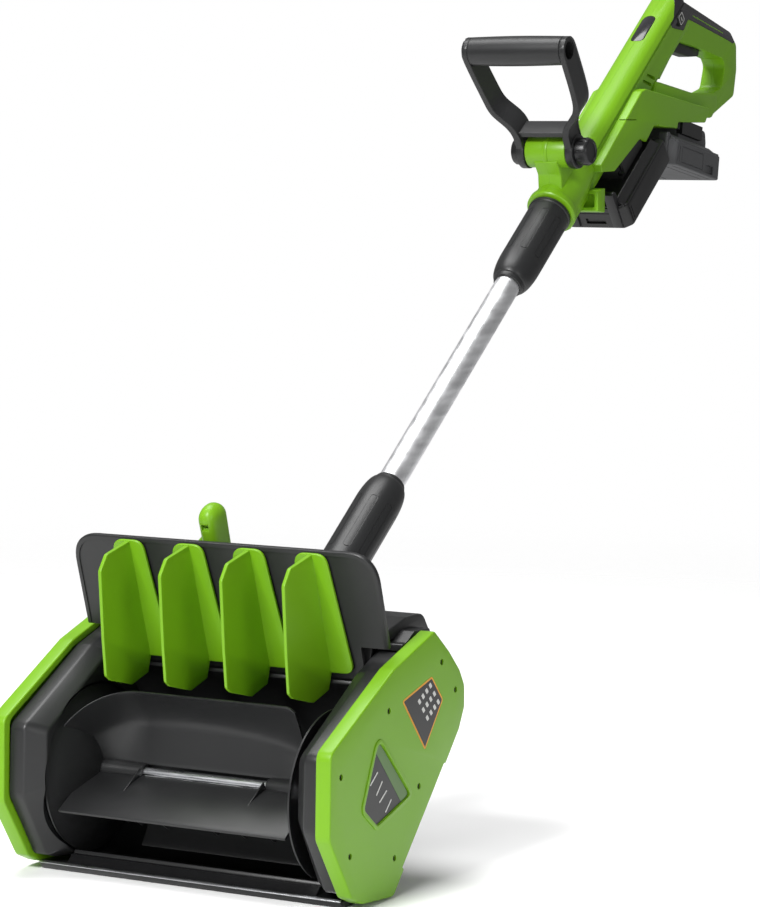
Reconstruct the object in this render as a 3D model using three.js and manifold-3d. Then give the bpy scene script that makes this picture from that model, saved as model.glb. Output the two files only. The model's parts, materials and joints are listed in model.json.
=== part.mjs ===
// Cordless snow shovel: a motor-driven paddle rotor in a low head, a straight pole, and a two-battery handle.
// Units are millimetres. -Y is the front (where snow goes in), +X the right side, +Z up.
// The origin is on the ground under the scraper blade, in the middle of the head's width.
import * as THREE from "three";
import { mergeVertices } from "three/addons/utils/BufferGeometryUtils.js";
import Module from "manifold-3d";

const wasm = await Module();
wasm.setup();

// ---------------------------------------------------------------- driving dimensions
const GAP = 0.3; // between touching pieces
const HEAD = {
  inner: 124, // inside faces of the side walls
  wall: 150, // ends of the scraper blade
  joint: 153, // where a side wall meets its green cover
  cover: 168, // outside faces of the green covers
  skin: 3.5,
};
const ROTOR = { y: 43, z: 82, disc: 72, left: -128, right: 114.5, shaft: 5, hub: 9 };
const WELL = { radius: 75, depth: 8 }; // round well in the left wall that the rotor's end disc turns in
const MOTOR = { y: 137, z: 137, radius: 17, length: 62, pulley: 9 };
const ROTOR_PULLEY = 34;
const BELT = { thick: 2.6, width: 9, x: -160.5 };
const PANEL = { y: 77, z: 178, lean: 16.8, low: -5, height: 110.5, thick: 5 };
const VANE = { pitch: 60.5, pivot: 34, pin: 5, plate: 3 };
const CRANK = { reach: 24, thick: 4, pin: 2.5 };
const POLE = { y: 372.1, z: 335.1, slope: 36.87, radius: 12.5, bore: 10.9, low: -240, high: 404 };
const COLLAR = { radius: 21, bore: 12.9, low: [-165, -46], high: [238, 351] };
const BODY = { half: 18, bulge: 28, grip: 13, start: 352 };
const BOSS = { y: 655, z: 607, radius: 16, half: 22 };
const D_GRIP = { y: 584.5, z: 704, half: 51 };
const PACK = { length: 115, half: 37.5, side: 26, shell: 33, block: 50, hump: 55 };
// postTop: how high the two posts on a pack's nose rise.
const PACK_1 = { s: 427, n: -79, postTop: 46 }; // nose of the pack that lies along the pole
const PACK_2 = { y: 860, z: 592.5, tilt: -9.5, postTop: 34 }; // nose of the pack under the rear grip

const DEG = Math.PI / 180;
const slope = POLE.slope * DEG;

// ---------------------------------------------------------------- materials
const paint = (color, roughness, metalness = 0) =>
  new THREE.MeshStandardMaterial({ color, roughness, metalness });
const green = paint(0x7fc41c, 0.42);
const black = paint(0x2a2b2d, 0.55);
const dark = paint(0x1c1c1e, 0.6);
const grey = paint(0x47484b, 0.55);
const rubber = paint(0x222224, 0.85);
const steel = paint(0xb9bcc0, 0.3, 1);
const alloy = paint(0xd0d2d5, 0.32, 1);
const circuit = paint(0x1f5a3a, 0.5);

// ---------------------------------------------------------------- solids
// A closed geometry as a solid, turned face outwards if its triangles were listed the other way round.
function solid(geometry) {
  const bare = geometry.clone();
  bare.deleteAttribute("normal");
  bare.deleteAttribute("uv");
  const merged = mergeVertices(bare, 1e-4);
  const triVerts = new Uint32Array(merged.index.array);
  const make = () =>
    new wasm.Manifold(
      new wasm.Mesh({ numProp: 3, vertProperties: merged.attributes.position.array, triVerts }),
    );
  const made = make();
  if (made.volume() >= 0) return made;
  for (let i = 0; i < triVerts.length; i += 3) {
    [triVerts[i + 1], triVerts[i + 2]] = [triVerts[i + 2], triVerts[i + 1]];
  }
  return make();
}

function geometryOf(body) {
  const mesh = body.getMesh();
  const points = new Float32Array(mesh.numVert * 3);
  for (let i = 0; i < mesh.numVert; i++) {
    points.set(mesh.vertProperties.subarray(i * mesh.numProp, i * mesh.numProp + 3), i * 3);
  }
  const geometry = new THREE.BufferGeometry();
  geometry.setAttribute("position", new THREE.BufferAttribute(points, 3));
  geometry.setIndex(new THREE.BufferAttribute(new Uint32Array(mesh.triVerts), 1));
  geometry.computeVertexNormals();
  return geometry;
}

// Joins a list of solids.
const join = (...bodies) => bodies.reduce((a, b) => a.add(b));
// Takes every later solid away from the first.
const cut = (first, ...bodies) => bodies.reduce((a, b) => a.subtract(b), first);

// A closed outline from corners [u, v] or [u, v, radius]; a corner with a radius becomes an arc.
function outline(corners, steps = 3) {
  const points = [];
  corners.forEach(([u, v, radius = 0], i) => {
    const here = new THREE.Vector2(u, v);
    if (!radius) {
      points.push(here);
      return;
    }
    const last = corners[(i + corners.length - 1) % corners.length];
    const next = corners[(i + 1) % corners.length];
    const back = new THREE.Vector2(last[0] - u, last[1] - v);
    const on = new THREE.Vector2(next[0] - u, next[1] - v);
    const half = back.angleTo(on) / 2;
    const reach = Math.min(radius / Math.tan(half), back.length() * 0.49, on.length() * 0.49);
    const start = here.clone().addScaledVector(back.normalize(), reach);
    const end = here.clone().addScaledVector(on.normalize(), reach);
    new THREE.QuadraticBezierCurve(start, here, end)
      .getPoints(steps)
      .forEach((p) => points.push(p));
  });
  return points;
}

// A prism of an outline given as [y, z], from x0 to x1, with an optional chamfer on its edges.
function prism(points, x0, x1, chamfer = 0) {
  const shape = new THREE.Shape(points.map((p) => (p.isVector2 ? p : new THREE.Vector2(...p))));
  const geometry = new THREE.ExtrudeGeometry(shape, {
    depth: x1 - x0 - 2 * chamfer,
    bevelEnabled: chamfer > 0,
    bevelThickness: chamfer,
    bevelSize: chamfer,
    bevelOffset: -chamfer,
    bevelSegments: 1,
    curveSegments: 4,
  });
  geometry.translate(0, 0, x0 + chamfer);
  const toYZ = new THREE.Matrix4().makeBasis(
    new THREE.Vector3(0, 1, 0),
    new THREE.Vector3(0, 0, 1),
    new THREE.Vector3(1, 0, 0),
  );
  return solid(geometry.applyMatrix4(toYZ));
}

// A prism of an outline given as [x, y], from z0 to z1.
function slab(points, z0, z1, chamfer = 0) {
  const shape = new THREE.Shape(points.map((p) => (p.isVector2 ? p : new THREE.Vector2(...p))));
  const geometry = new THREE.ExtrudeGeometry(shape, {
    depth: z1 - z0 - 2 * chamfer,
    bevelEnabled: chamfer > 0,
    bevelThickness: chamfer,
    bevelSize: chamfer,
    bevelOffset: -chamfer,
    bevelSegments: 1,
    curveSegments: 4,
  });
  return solid(geometry.translate(0, 0, z0 + chamfer));
}

// A prism of an outline given as [x, z], from y0 to y1.
function beam(points, y0, y1) {
  const shape = new THREE.Shape(points.map((p) => (p.isVector2 ? p : new THREE.Vector2(...p))));
  const geometry = new THREE.ExtrudeGeometry(shape, { depth: y1 - y0, bevelEnabled: false });
  return solid(geometry.rotateX(Math.PI / 2).translate(0, y1, 0));
}

function box(x0, x1, y0, y1, z0, z1) {
  const geometry = new THREE.BoxGeometry(x1 - x0, y1 - y0, z1 - z0);
  return solid(geometry.translate((x0 + x1) / 2, (y0 + y1) / 2, (z0 + z1) / 2));
}

// A round bar along X, centred on (y, z).
function barX(radius, x0, x1, y = 0, z = 0, sides = 20) {
  const geometry = new THREE.CylinderGeometry(radius, radius, x1 - x0, sides);
  return solid(geometry.rotateZ(Math.PI / 2).translate((x0 + x1) / 2, y, z));
}

// A round bar along Y, centred on (x, z).
function barY(radius, y0, y1, x = 0, z = 0, sides = 24) {
  const geometry = new THREE.CylinderGeometry(radius, radius, y1 - y0, sides);
  return solid(geometry.translate(x, (y0 + y1) / 2, z));
}

// A round bar along Z, centred on (x, y).
function barZ(radius, z0, z1, x = 0, y = 0, sides = 16) {
  const geometry = new THREE.CylinderGeometry(radius, radius, z1 - z0, sides);
  return solid(geometry.rotateX(Math.PI / 2).translate(x, y, (z0 + z1) / 2));
}

// A turned piece from a closed profile [radius, along]; its axis is Y, or X if asked.
function turned(profile, sides = 24) {
  const closed = [...profile, profile[0]].map(([r, a]) => new THREE.Vector2(r, a));
  return solid(new THREE.LatheGeometry(closed, sides));
}
function turnedX(profile, sides = 24) {
  const closed = [...profile, profile[0]].map(([r, a]) => new THREE.Vector2(r, a));
  return solid(new THREE.LatheGeometry(closed, sides).rotateZ(-Math.PI / 2));
}

const root = new THREE.Group();
root.name = "snow_shovel";
function place(parent, name, body, material) {
  const mesh = new THREE.Mesh(geometryOf(body), material);
  mesh.name = name;
  parent.add(mesh);
  return mesh;
}

// ---------------------------------------------------------------- outlines of the head, in [y, z]
const coverOutline = outline(
  [
    [-51, 136, 12],
    [-53, 66, 12],
    [-18, 12.5, 10],
    [0, 4.6, 8],
    [50, 0.8, 8],
    [162, 123, 14],
    [171.5, 141, 10],
    [171.5, 160, 14],
    [163, 174, 14],
    [145, 192, 18],
    [119, 213, 5],
    [50, 190, 10],
  ],
  3,
);
const wallOutline = outline(
  [
    [-43, 131, 12],
    [-46, 70, 12],
    [-12, 14, 8],
    [3, 9.6, 6],
    [48, 5.2, 6],
    [156, 124, 10],
    [164.5, 141, 8],
    [164.5, 158, 10],
    [157, 170, 10],
    [140, 187, 14],
    [117, 205.5, 12],
    [56, 186, 8],
  ],
  3,
);
// The same wall seen from inside the head, where its front is cut back by a wide chamfer.
const wallInnerOutline = outline(
  [
    [-29, 125, 12],
    [-31, 76, 12],
    [0, 19, 8],
    [12, 14, 6],
    [48, 5.2, 6],
    [156, 124, 10],
    [164.5, 141, 8],
    [164.5, 158, 10],
    [157, 170, 10],
    [140, 187, 14],
    [117, 205.5, 12],
    [62, 181, 8],
  ],
  3,
);

// A solid between two outlines with the same number of points.
function loft(first, x0, second, x1) {
  const n = first.length;
  const points = [...first.map((p) => [x0, p.x, p.y]), ...second.map((p) => [x1, p.x, p.y])];
  const faces = [];
  for (let i = 0; i < n; i++) {
    const j = (i + 1) % n;
    faces.push([i, n + i, j], [j, n + i, n + j]);
  }
  for (const [a, b, c] of THREE.ShapeUtils.triangulateShape(first, [])) faces.push([a, b, c]);
  for (const [a, b, c] of THREE.ShapeUtils.triangulateShape(second, [])) {
    faces.push([n + a, n + c, n + b]);
  }
  const geometry = new THREE.BufferGeometry();
  geometry.setAttribute("position", new THREE.Float32BufferAttribute(points.flat(), 3));
  geometry.setIndex(faces.flat());
  return solid(geometry);
}

// ---------------------------------------------------------------- head
const head = new THREE.Group();
root.add(head);

// The scroll is the curved trough behind the rotor: it opens out a little towards its top.
function scrollOutline() {
  const steps = 15;
  const low = -118 * DEG;
  const high = 69 * DEG;
  const radiusAt = (t) => 74 + 19 * Math.pow(Math.max(0, (t - 0.25) / 0.75), 2.2);
  const inner = [];
  const outer = [];
  for (let i = 0; i <= steps; i++) {
    const t = i / steps;
    const angle = low + (high - low) * t;
    const ray = [Math.cos(angle), Math.sin(angle)];
    const r = radiusAt(t);
    inner.push([ROTOR.y + r * ray[0], ROTOR.z + r * ray[1]]);
    outer.push([ROTOR.y + (r + HEAD.skin) * ray[0], ROTOR.z + (r + HEAD.skin) * ray[1]]);
  }
  return [...inner.reverse(), ...outer];
}
place(
  head,
  "scroll_housing",
  prism(scrollOutline(), -HEAD.inner + GAP, HEAD.inner - GAP),
  black,
);

// Side walls carry the rotor bearings.
for (const [name, sign] of [["right", 1], ["left", -1]]) {
  const chamfered = loft(wallInnerOutline, sign * HEAD.inner, wallOutline, sign * (HEAD.inner + 14));
  const plate = prism(
    wallOutline,
    Math.min(sign * (HEAD.inner + 14), sign * (HEAD.joint - GAP)),
    Math.max(sign * (HEAD.inner + 14), sign * (HEAD.joint - GAP)),
  );
  const seat = barX(13.3, -200, 200, ROTOR.y, ROTOR.z);
  const motorHole = barX(MOTOR.pulley + 4, -200, 200, MOTOR.y, MOTOR.z);
  const well = barX(WELL.radius, -HEAD.inner - WELL.depth, -50, ROTOR.y, ROTOR.z, 48);
  // Behind the wall's sloping edge a shallow cup closes the end of the scroll.
  const cupEnd = sign * (HEAD.inner + (sign < 0 ? WELL.depth + 2.5 : 3.5));
  const cup = cut(
    barX(WELL.radius + 5, Math.min(sign * HEAD.inner, cupEnd), Math.max(sign * HEAD.inner, cupEnd), ROTOR.y, ROTOR.z, 48),
    box(-200, 200, -60, 49, -20, 200),
  );
  const wall = cut(join(chamfered, plate, cup), seat);
  place(head, "side_wall_" + name, sign < 0 ? cut(wall, motorHole, well) : wall, black);

  // A ball bearing between wall and shaft.
  const x0 = sign > 0 ? HEAD.inner + 3 : -HEAD.inner - WELL.depth - 11;
  const ring = cut(
    barX(13, x0, x0 + 9, ROTOR.y, ROTOR.z),
    barX(ROTOR.shaft + GAP, -200, 200, ROTOR.y, ROTOR.z),
  );
  place(head, "rotor_bearing_" + name, ring, steel);

  // The green cover is a shallow tray with its open side against the wall.
  const pocketOutline = coverOutline.map(
    (p) => new THREE.Vector2(60 + (p.x - 60) * 0.93, 106 + (p.y - 106) * 0.93),
  );
  const low = Math.min(sign * HEAD.joint, sign * HEAD.cover);
  const high = Math.max(sign * HEAD.joint, sign * HEAD.cover);
  let cover = prism(coverOutline, low, high, 1.6);
  const floor = HEAD.cover - HEAD.skin;
  cover = cut(cover, prism(pocketOutline, Math.min(sign * 140, sign * floor), Math.max(sign * 140, sign * floor)));
  place(head, "side_cover_" + name, cover, green);
}

// The scraper is the wear strip that rides on the ground.
const scraperOutline = [
  [47.5, 0],
  [47.5, 3.9],
  [8, 6.6],
  [-6, 7.4],
  [-8, 6.2],
  [-3, 0],
];
const scraperStrip = prism(scraperOutline, -HEAD.wall + GAP, HEAD.wall - GAP);
// Between the walls a ridge rises to the scroll's front lip.
const scraperRidge = prism([[-4, 6], [34, 4], [34, 14], [4, 13.4]], -HEAD.inner + GAP, HEAD.inner - GAP);
place(
  head,
  "scraper_blade",
  cut(
    join(scraperStrip, scraperRidge),
    barX(74 + HEAD.skin + GAP, -HEAD.inner, HEAD.inner, ROTOR.y, ROTOR.z, 64),
  ),
  steel,
);

// The rear housing closes the motor space and rises into a hood behind the deflector.
function rearHousing() {
  const shell = prism(
    outline([
      [88.2, 169],
      [90, 190],
      [96, 213],
      [122, 218.5, 8],
      [149, 218.5, 10],
      [159, 205, 6],
      [163.5, 159, 10],
      [161, 134, 8],
      [126.4, 93.6],
      [130, 92.6],
      [164.5, 132, 8],
      [167, 160, 10],
      [163, 205, 6],
      [151, 222, 12],
      [122, 222, 10],
      [93, 216],
      [86.5, 190],
      [84.9, 169],
    ]),
    -HEAD.inner + GAP,
    HEAD.inner - GAP,
  );
  const crown = prism(
    outline([[88, 206], [93, 216], [122, 222, 10], [151, 222, 12], [163, 205]]),
    -138,
    138,
    2,
  );
  const back = prism([[141, 207], [141.5, 192], [163, 187], [163, 207]], -136, 136);
  const ledge = prism(
    [[90, 198.4], [93, 203], [112, 212], [139, 211], [141, 206], [126, 200.8], [117, 207.6]],
    -151,
    151,
  );
  const hood = join(crown, back, ledge);
  const hollow = prism(
    outline([[93, 180], [97, 212], [122, 218.5, 8], [149, 218.5, 10], [159, 205], [152, 180]]),
    -133,
    133,
  );
  return cut(join(shell, cut(hood, hollow)), polar(barY(25.6, -300, -160)));
}

// ---------------------------------------------------------------- the pole's own frame
// Along the pole: local y runs up the pole, local z stands square to it, above it.
const poleMatrix = new THREE.Matrix4()
  .makeTranslation(0, POLE.y, POLE.z)
  .multiply(new THREE.Matrix4().makeRotationX(slope));
function polar(body) {
  return solid(geometryOf(body).applyMatrix4(poleMatrix));
}
// Pole coordinates [along, above] of a point [y, z].
function alongPole(y, z) {
  return [
    (y - POLE.y) * Math.cos(slope) + (z - POLE.z) * Math.sin(slope),
    -(y - POLE.y) * Math.sin(slope) + (z - POLE.z) * Math.cos(slope),
  ];
}
place(head, "rear_housing", rearHousing(), black);

const pole = new THREE.Group();
pole.position.set(0, POLE.y, POLE.z);
pole.rotation.x = slope;
root.add(pole);

place(
  pole,
  "tube_socket",
  cut(join(barY(25.2, -262, -192), barY(19, -200, -167)), barY(COLLAR.bore, -236, -100)),
  black,
);
place(
  pole,
  "tube",
  cut(barY(POLE.radius, POLE.low + 10, POLE.high, 0, 0, 28), barY(POLE.bore, -400, 500, 0, 0, 28)),
  alloy,
);

// Twist collars at both ends of the tube: a thin mouth, a rounded shoulder and a straight skirt.
function collar([open, shoulder]) {
  const turn = Math.sign(shoulder - open);
  const profile = [
    [19.4, open],
    [COLLAR.radius + 2, open],
    [COLLAR.radius, open + turn * 30],
    [COLLAR.radius - 0.6, shoulder - turn * 26],
    [COLLAR.radius - 3, shoulder - turn * 8],
    [COLLAR.radius - 6, shoulder],
    [COLLAR.bore, shoulder],
    [COLLAR.bore, open + turn * 44],
    [19.4, open + turn * 40],
  ];
  return turned(turn > 0 ? profile : profile.reverse(), 24);
}
place(pole, "lower_collar", collar(COLLAR.low), black);
place(pole, "upper_collar", collar([COLLAR.high[1], COLLAR.high[0]]), black);

// ---------------------------------------------------------------- drive: motor, pulleys and belt
place(head, "motor_can", join(
  barX(MOTOR.radius, -118, -118 + MOTOR.length, MOTOR.y, MOTOR.z),
  barX(8, -122, -118, MOTOR.y, MOTOR.z),
), steel);
const motorShaft = barX(3, -168 + HEAD.skin + 1, -124, MOTOR.y, MOTOR.z, 20);
const motorWheel = barX(MOTOR.pulley, BELT.x - 3.4, BELT.x + 6, MOTOR.y, MOTOR.z);
place(head, "motor_pulley", join(motorShaft, motorWheel), steel);
place(
  head,
  "rotor_pulley",
  cut(
    barX(ROTOR_PULLEY, BELT.x - 3, BELT.x + 5.5, ROTOR.y, ROTOR.z, 40),
    barX(ROTOR.shaft + GAP, -200, 200, ROTOR.y, ROTOR.z),
  ),
  dark,
);

// The belt's loop: arcs round both pulleys joined by the two outside tangents.
function beltLoop(extra) {
  const dy = MOTOR.y - ROTOR.y;
  const dz = MOTOR.z - ROTOR.z;
  const facing = Math.atan2(dz, dy);
  const big = ROTOR_PULLEY + extra;
  const small = MOTOR.pulley + extra;
  const open = Math.acos((big - small) / Math.hypot(dy, dz));
  const points = [];
  const arc = (cy, cz, r, from, to, steps) => {
    for (let i = 0; i <= steps; i++) {
      const a = from + ((to - from) * i) / steps;
      points.push(new THREE.Vector2(cy + r * Math.cos(a), cz + r * Math.sin(a)));
    }
  };
  arc(ROTOR.y, ROTOR.z, big, facing + open, facing + 2 * Math.PI - open, 22);
  arc(MOTOR.y, MOTOR.z, small, facing - open, facing + open, 10);
  return points;
}
place(
  head,
  "drive_belt",
  cut(
    prism(beltLoop(0.5 + BELT.thick), BELT.x - 2.5, BELT.x + 4.5),
    prism(beltLoop(0.5), BELT.x - 9, BELT.x + 9),
  ),
  rubber,
);

// ---------------------------------------------------------------- rotor
const rotor = new THREE.Group();
rotor.position.set(0, ROTOR.y, ROTOR.z);
root.add(rotor);
place(rotor, "rotor_shaft", barX(ROTOR.shaft, BELT.x - 3.6, HEAD.inner + 13, 0, 0, 24), steel);

// Paddles: the angle each stands at, how far out it reaches, and its span across the rotor.
const PADDLES = [
  { angle: 97, reach: 73, span: [-112, 82] },
  { angle: 204, reach: 69, span: [-118, 104] },
  { angle: 249, reach: 62, span: [-62, 104] },
  { angle: 324, reach: 69, span: [-118, 104] },
];
const BARE = [-73, 51]; // where the shaft runs bare between the two hub sleeves

// One paddle in the rotor's frame: from the hub out to its tip, bowed towards the way it turns.
function paddleOutline(reach, thick) {
  const steps = 5;
  const front = [];
  const back = [];
  for (let i = 0; i <= steps; i++) {
    const t = i / steps;
    const r = 8 + t * (reach - 8);
    const bow = 4 * Math.sin(t * Math.PI);
    front.push([r, bow]);
    back.push([r, bow - thick]);
  }
  return [...front, ...back.reverse()];
}
// A round end disc, dished outwards, that ties the paddles together.
function endDisc(edge) {
  const sign = Math.sign(edge);
  return turnedX(
    [
      [0, edge - sign * 14],
      [24, edge - sign * 14],
      [ROTOR.disc, edge - sign * 3.5],
      [ROTOR.disc, edge],
      [22, edge - sign * 9.5],
      [0, edge - sign * 9.5],
    ],
    40,
  );
}
function paddles() {
  let made = barX(ROTOR.hub, ROTOR.left + 12, ROTOR.right - 12);
  for (const { angle, reach, span } of PADDLES) {
    made = join(made, prism(paddleOutline(reach, 2.8), ...span).rotate([angle, 0, 0]));
  }
  // Gussets brace the forward paddle against the under one.
  for (const x of [-50, -20, 20, 50, 80]) {
    const gusset = prism([[14, -1], [56, -1], [40, -24], [24, -24]], x - 1.2, x + 1.2);
    made = join(made, gusset.rotate([PADDLES[1].angle, 0, 0]));
  }
  made = join(made, endDisc(ROTOR.left), endDisc(ROTOR.right));
  return cut(made, barX(ROTOR.hub + 1, ...BARE), barX(ROTOR.shaft + GAP, -200, 200));
}
place(rotor, "rotor_paddles", paddles(), black);

// ---------------------------------------------------------------- deflector with steered vanes
// Local frame of the panel: x across, y up its face, z out of its front.
const deflector = new THREE.Group();
deflector.position.set(0, PANEL.y, PANEL.z);
deflector.rotation.x = (90 + PANEL.lean) * DEG;
root.add(deflector);
const vaneX = (i) => (i - 1.5) * VANE.pitch;

function panel() {
  const wide = 151;
  const narrow = HEAD.inner - GAP;
  const step = 25;
  let made = slab(
    outline([
      [-narrow, PANEL.low],
      [narrow, PANEL.low],
      [narrow, step],
      [wide, step],
      [wide, PANEL.height, 26],
      [-wide, PANEL.height, 26],
      [-wide, step],
      [-narrow, step],
    ], 6),
    -PANEL.thick,
    0,
    1.2,
  );
  for (let i = 0; i < 4; i++) made = cut(made, barZ(VANE.pin + GAP, -20, 20, vaneX(i), VANE.pivot));
  return made;
}
place(deflector, "deflector_panel", panel(), black);

// A vane: a tapered plate on the panel, a tall fin square to it, and a stub shaft through the panel.
function vane() {
  const up = -VANE.pivot;
  const plate = slab(
    outline([
      [-25, 1 + up, 8],
      [25, 1 + up, 8],
      [15, 109 + up, 10],
      [-15, 109 + up, 10],
    ]),
    0.4,
    0.4 + VANE.plate,
  );
  const fin = prism(
    outline([
      [1 + up, 0.6],
      [-12 + up, 10, 2],
      [-12 + up, 35, 4],
      [5 + up, 63, 5],
      [11 + up, 68, 5],
      [43 + up, 62, 10],
      [100 + up, 49, 5],
      [110 + up, 36, 4],
      [108 + up, 0.6],
    ]),
    -1.6,
    1.6,
    0.7,
  );
  return join(plate, fin, barZ(VANE.pin, -PANEL.thick - 0.5 - CRANK.thick, 1));
}
// The crank arm behind the panel, with the pin that carries the link bar.
function crank() {
  const back = -PANEL.thick - 0.8;
  const arm = slab(
    outline([
      [-9, -8, 7],
      [9, -8, 7],
      [6, CRANK.reach + 6, 5],
      [-6, CRANK.reach + 6, 5],
    ]),
    back - CRANK.thick,
    back,
  );
  const pin = barZ(CRANK.pin, back - CRANK.thick - 6, back - 1, 0, CRANK.reach, 18);
  return cut(join(arm, pin), barZ(VANE.pin + GAP, -30, 5));
}
for (let i = 0; i < 4; i++) {
  const turntable = new THREE.Group();
  turntable.position.set(vaneX(i), VANE.pivot, 0);
  deflector.add(turntable);
  place(turntable, "vane_" + (i + 1), vane(), green);
  place(turntable, "vane_crank_" + (i + 1), crank(), black);
}

// The link bar keeps the four cranks parallel.
function linkBar() {
  const reach = 1.5 * VANE.pitch + 8;
  const low = -PANEL.thick - 0.8 - CRANK.thick - 4.6;
  let bar = slab(outline([[-reach, -6, 5], [reach, -6, 5], [reach, 6, 5], [-reach, 6, 5]]), low, low + 4.2);
  for (let i = 0; i < 4; i++) bar = cut(bar, barZ(CRANK.pin + GAP, -40, 0, vaneX(i), 0, 18));
  return bar;
}
const link = new THREE.Group();
link.position.set(0, VANE.pivot + CRANK.reach, 0);
deflector.add(link);
place(link, "vane_link_bar", linkBar(), steel);

// The steering lever stands behind the second vane and shows above the panel.
const LEVER_X = 7; // the lever's blade stands this far right of its pivot
function steerLever() {
  const stem = prism(
    [[-5, -16.7], [55, -16.7], [55, -24], [36, -24], [30, -18.8], [-5, -18.8]],
    LEVER_X - 6,
    LEVER_X + 6,
  );
  const head = prism(
    outline([
      [34, -17.5, 3],
      [98, -19.5, 9],
      [99, -44, 9],
      [67, -46, 8],
      [36, -36, 6],
    ]),
    LEVER_X - 9.4,
    LEVER_X + 9.4,
    2,
  );
  const foot = slab(outline([[-14, 55, 6], [16, 55, 6], [16, 79, 6], [-3, 79, 9]]), -40, -20.5, 1.5);
  const hub = barZ(6.5, -17, -PANEL.thick - CRANK.thick - 1.1);
  const window = box(LEVER_X - 3.6, LEVER_X + 3.6, 79, 85, -26, 0);
  return cut(join(stem, head, foot, hub), window);
}
const leverGroup = new THREE.Group();
leverGroup.position.set(vaneX(1), VANE.pivot, 0);
deflector.add(leverGroup);
place(leverGroup, "steering_lever", steerLever(), green);

// ---------------------------------------------------------------- handle body
// Outlines below are given in the row's [y, z]; `local` turns them into pole coordinates.
const local = (corners) => corners.map(([y, z, r]) => (r ? [...alongPole(y, z), r] : alongPole(y, z)));
const side = (corners, half, chamfer = 0) => prism(outline(local(corners)), -half, half, chamfer);

// Where a battery sits: its nose [along, above] in pole coordinates and its tilt there, in degrees.
const [pack2Along, pack2Above] = alongPole(PACK_2.y, PACK_2.z);
const SEATS = [
  { at: [PACK_1.s, PACK_1.n], tilt: 0, postTop: PACK_1.postTop },
  { at: [pack2Along, pack2Above], tilt: PACK_2.tilt - POLE.slope, postTop: PACK_2.postTop },
];
function seated(body, { at, tilt }) {
  return body.rotate([tilt, 0, 0]).translate([0, ...at]);
}

// Slide rails of a battery seat: a channel that hugs the battery's slide block.
const RAIL = { outer: 25.2, inner: 22.4, lip: 18.9, low: 38.6, step: 42.4, roof: 50.6, top: 53.3 };
const seatChannel = (from, to) =>
  beam(
    [
      [-RAIL.outer, RAIL.low],
      [-RAIL.lip, RAIL.low],
      [-RAIL.lip, RAIL.step],
      [-RAIL.inner, RAIL.step],
      [-RAIL.inner, RAIL.roof],
      [RAIL.inner, RAIL.roof],
      [RAIL.inner, RAIL.step],
      [RAIL.lip, RAIL.step],
      [RAIL.lip, RAIL.low],
      [RAIL.outer, RAIL.low],
      [RAIL.outer, RAIL.top],
      [-RAIL.outer, RAIL.top],
    ],
    from,
    to,
  );

function bodyOuter() {
  // Spine: round on top, flat sided, with a rounded far end.
  const section = outline(
    [
      [-BODY.half, -25, 8],
      [BODY.half, -25, 8],
      [BODY.half, 24, 17],
      [-BODY.half, 24, 17],
    ],
    5,
  );
  const ends = prism(outline([[356, -26], [700, -26, 4], [698, 26, 34], [356, 26]], 6), -40, 40);
  const spine = beam(section, 356, 700).intersect(ends);
  const flange = barY(25.4, BODY.start, 361, 0, 0, 28);
  const neck = barY(23, 358, 424, 0, 0, 28);
  // The wide part over the two batteries.
  const bulge = side(
    [
      [710, 593],
      [712, 586],
      [741.5, 586.6],
      [799, 618.5],
      [814, 615.5],
      [833, 632],
      [889, 629],
      [891, 635.5],
      [959, 635],
      [971, 650],
      [812, 669.5],
      [802, 667],
    ],
    BODY.bulge,
    1.8,
  );
  // The rear loop: grip bar above, lower bar below, and the far end that joins them.
  const loop = side(
    [
      [862, 700],
      [905, 748],
      [929, 763, 10],
      [1054, 732.5, 14],
      [1070, 719, 8],
      [1071, 692, 10],
      [1064, 664, 8],
      [1000, 640, 8],
      [905, 640],
    ],
    BODY.grip,
    4,
  );
  const lowerBar = side(
    [
      [850, 650],
      [858, 678],
      [873, 676.5],
      [948, 666.8, 8],
      [1012, 667, 8],
      [1012, 652, 6],
      [998, 640, 6],
      [880, 640],
    ],
    BODY.half,
    3,
  );
  const opening = side(
    [
      [872, 676.5, 4],
      [908, 708, 10],
      [917, 721, 8],
      [978, 713.7, 30],
      [1034, 704, 6],
      [1041, 696, 8],
      [1032, 672, 8],
      [1010, 667, 8],
      [948, 666.4, 10],
    ],
    60,
  );
  // The boss that carries the front handle, on its post.
  const [bossS, bossN] = alongPole(BOSS.y, BOSS.z);
  const boss = barX(BOSS.radius, -BOSS.half, BOSS.half, bossS, bossN, 28);
  const post = prism([[362, 12], [372, 32], [372, bossN], [397, bossN], [397, 34], [408, 12]], -13, 13, 1);
  // The stop in front of the first battery: a cross plate with a shallow pocket in its front.
  const stop = cut(
    side([[703, 566], [703, 547, 2], [719, 545.5, 2], [719, 568]], BODY.bulge),
    side([[690, 562.5], [690, 549.5], [708, 549.5], [708, 562.5]], BODY.bulge - 4),
  );
  return cut(join(spine, flange, neck, bulge, loop, lowerBar), opening).add(boss).add(post).add(stop);
}

function bodyHollow() {
  const section = outline([[-15, -22, 6], [15, -22, 6], [15, 21, 14], [-15, 21, 14]], 4);
  const core = beam(section, 426, 684);
  const bore = barY(COLLAR.bore, 340, 408, 0, 0, 28);
  const lead = barY(9, 400, 430, 0, 0, 16);
  const grip = side([[926, 728], [926, 752], [1050, 727], [1060, 716], [1040, 709], [985, 718]], 9.6);
  const bulge = side([[905, 641], [905, 656], [958, 649], [948, 641]], 15);
  return join(core, bore, lead, grip, bulge);
}

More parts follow.
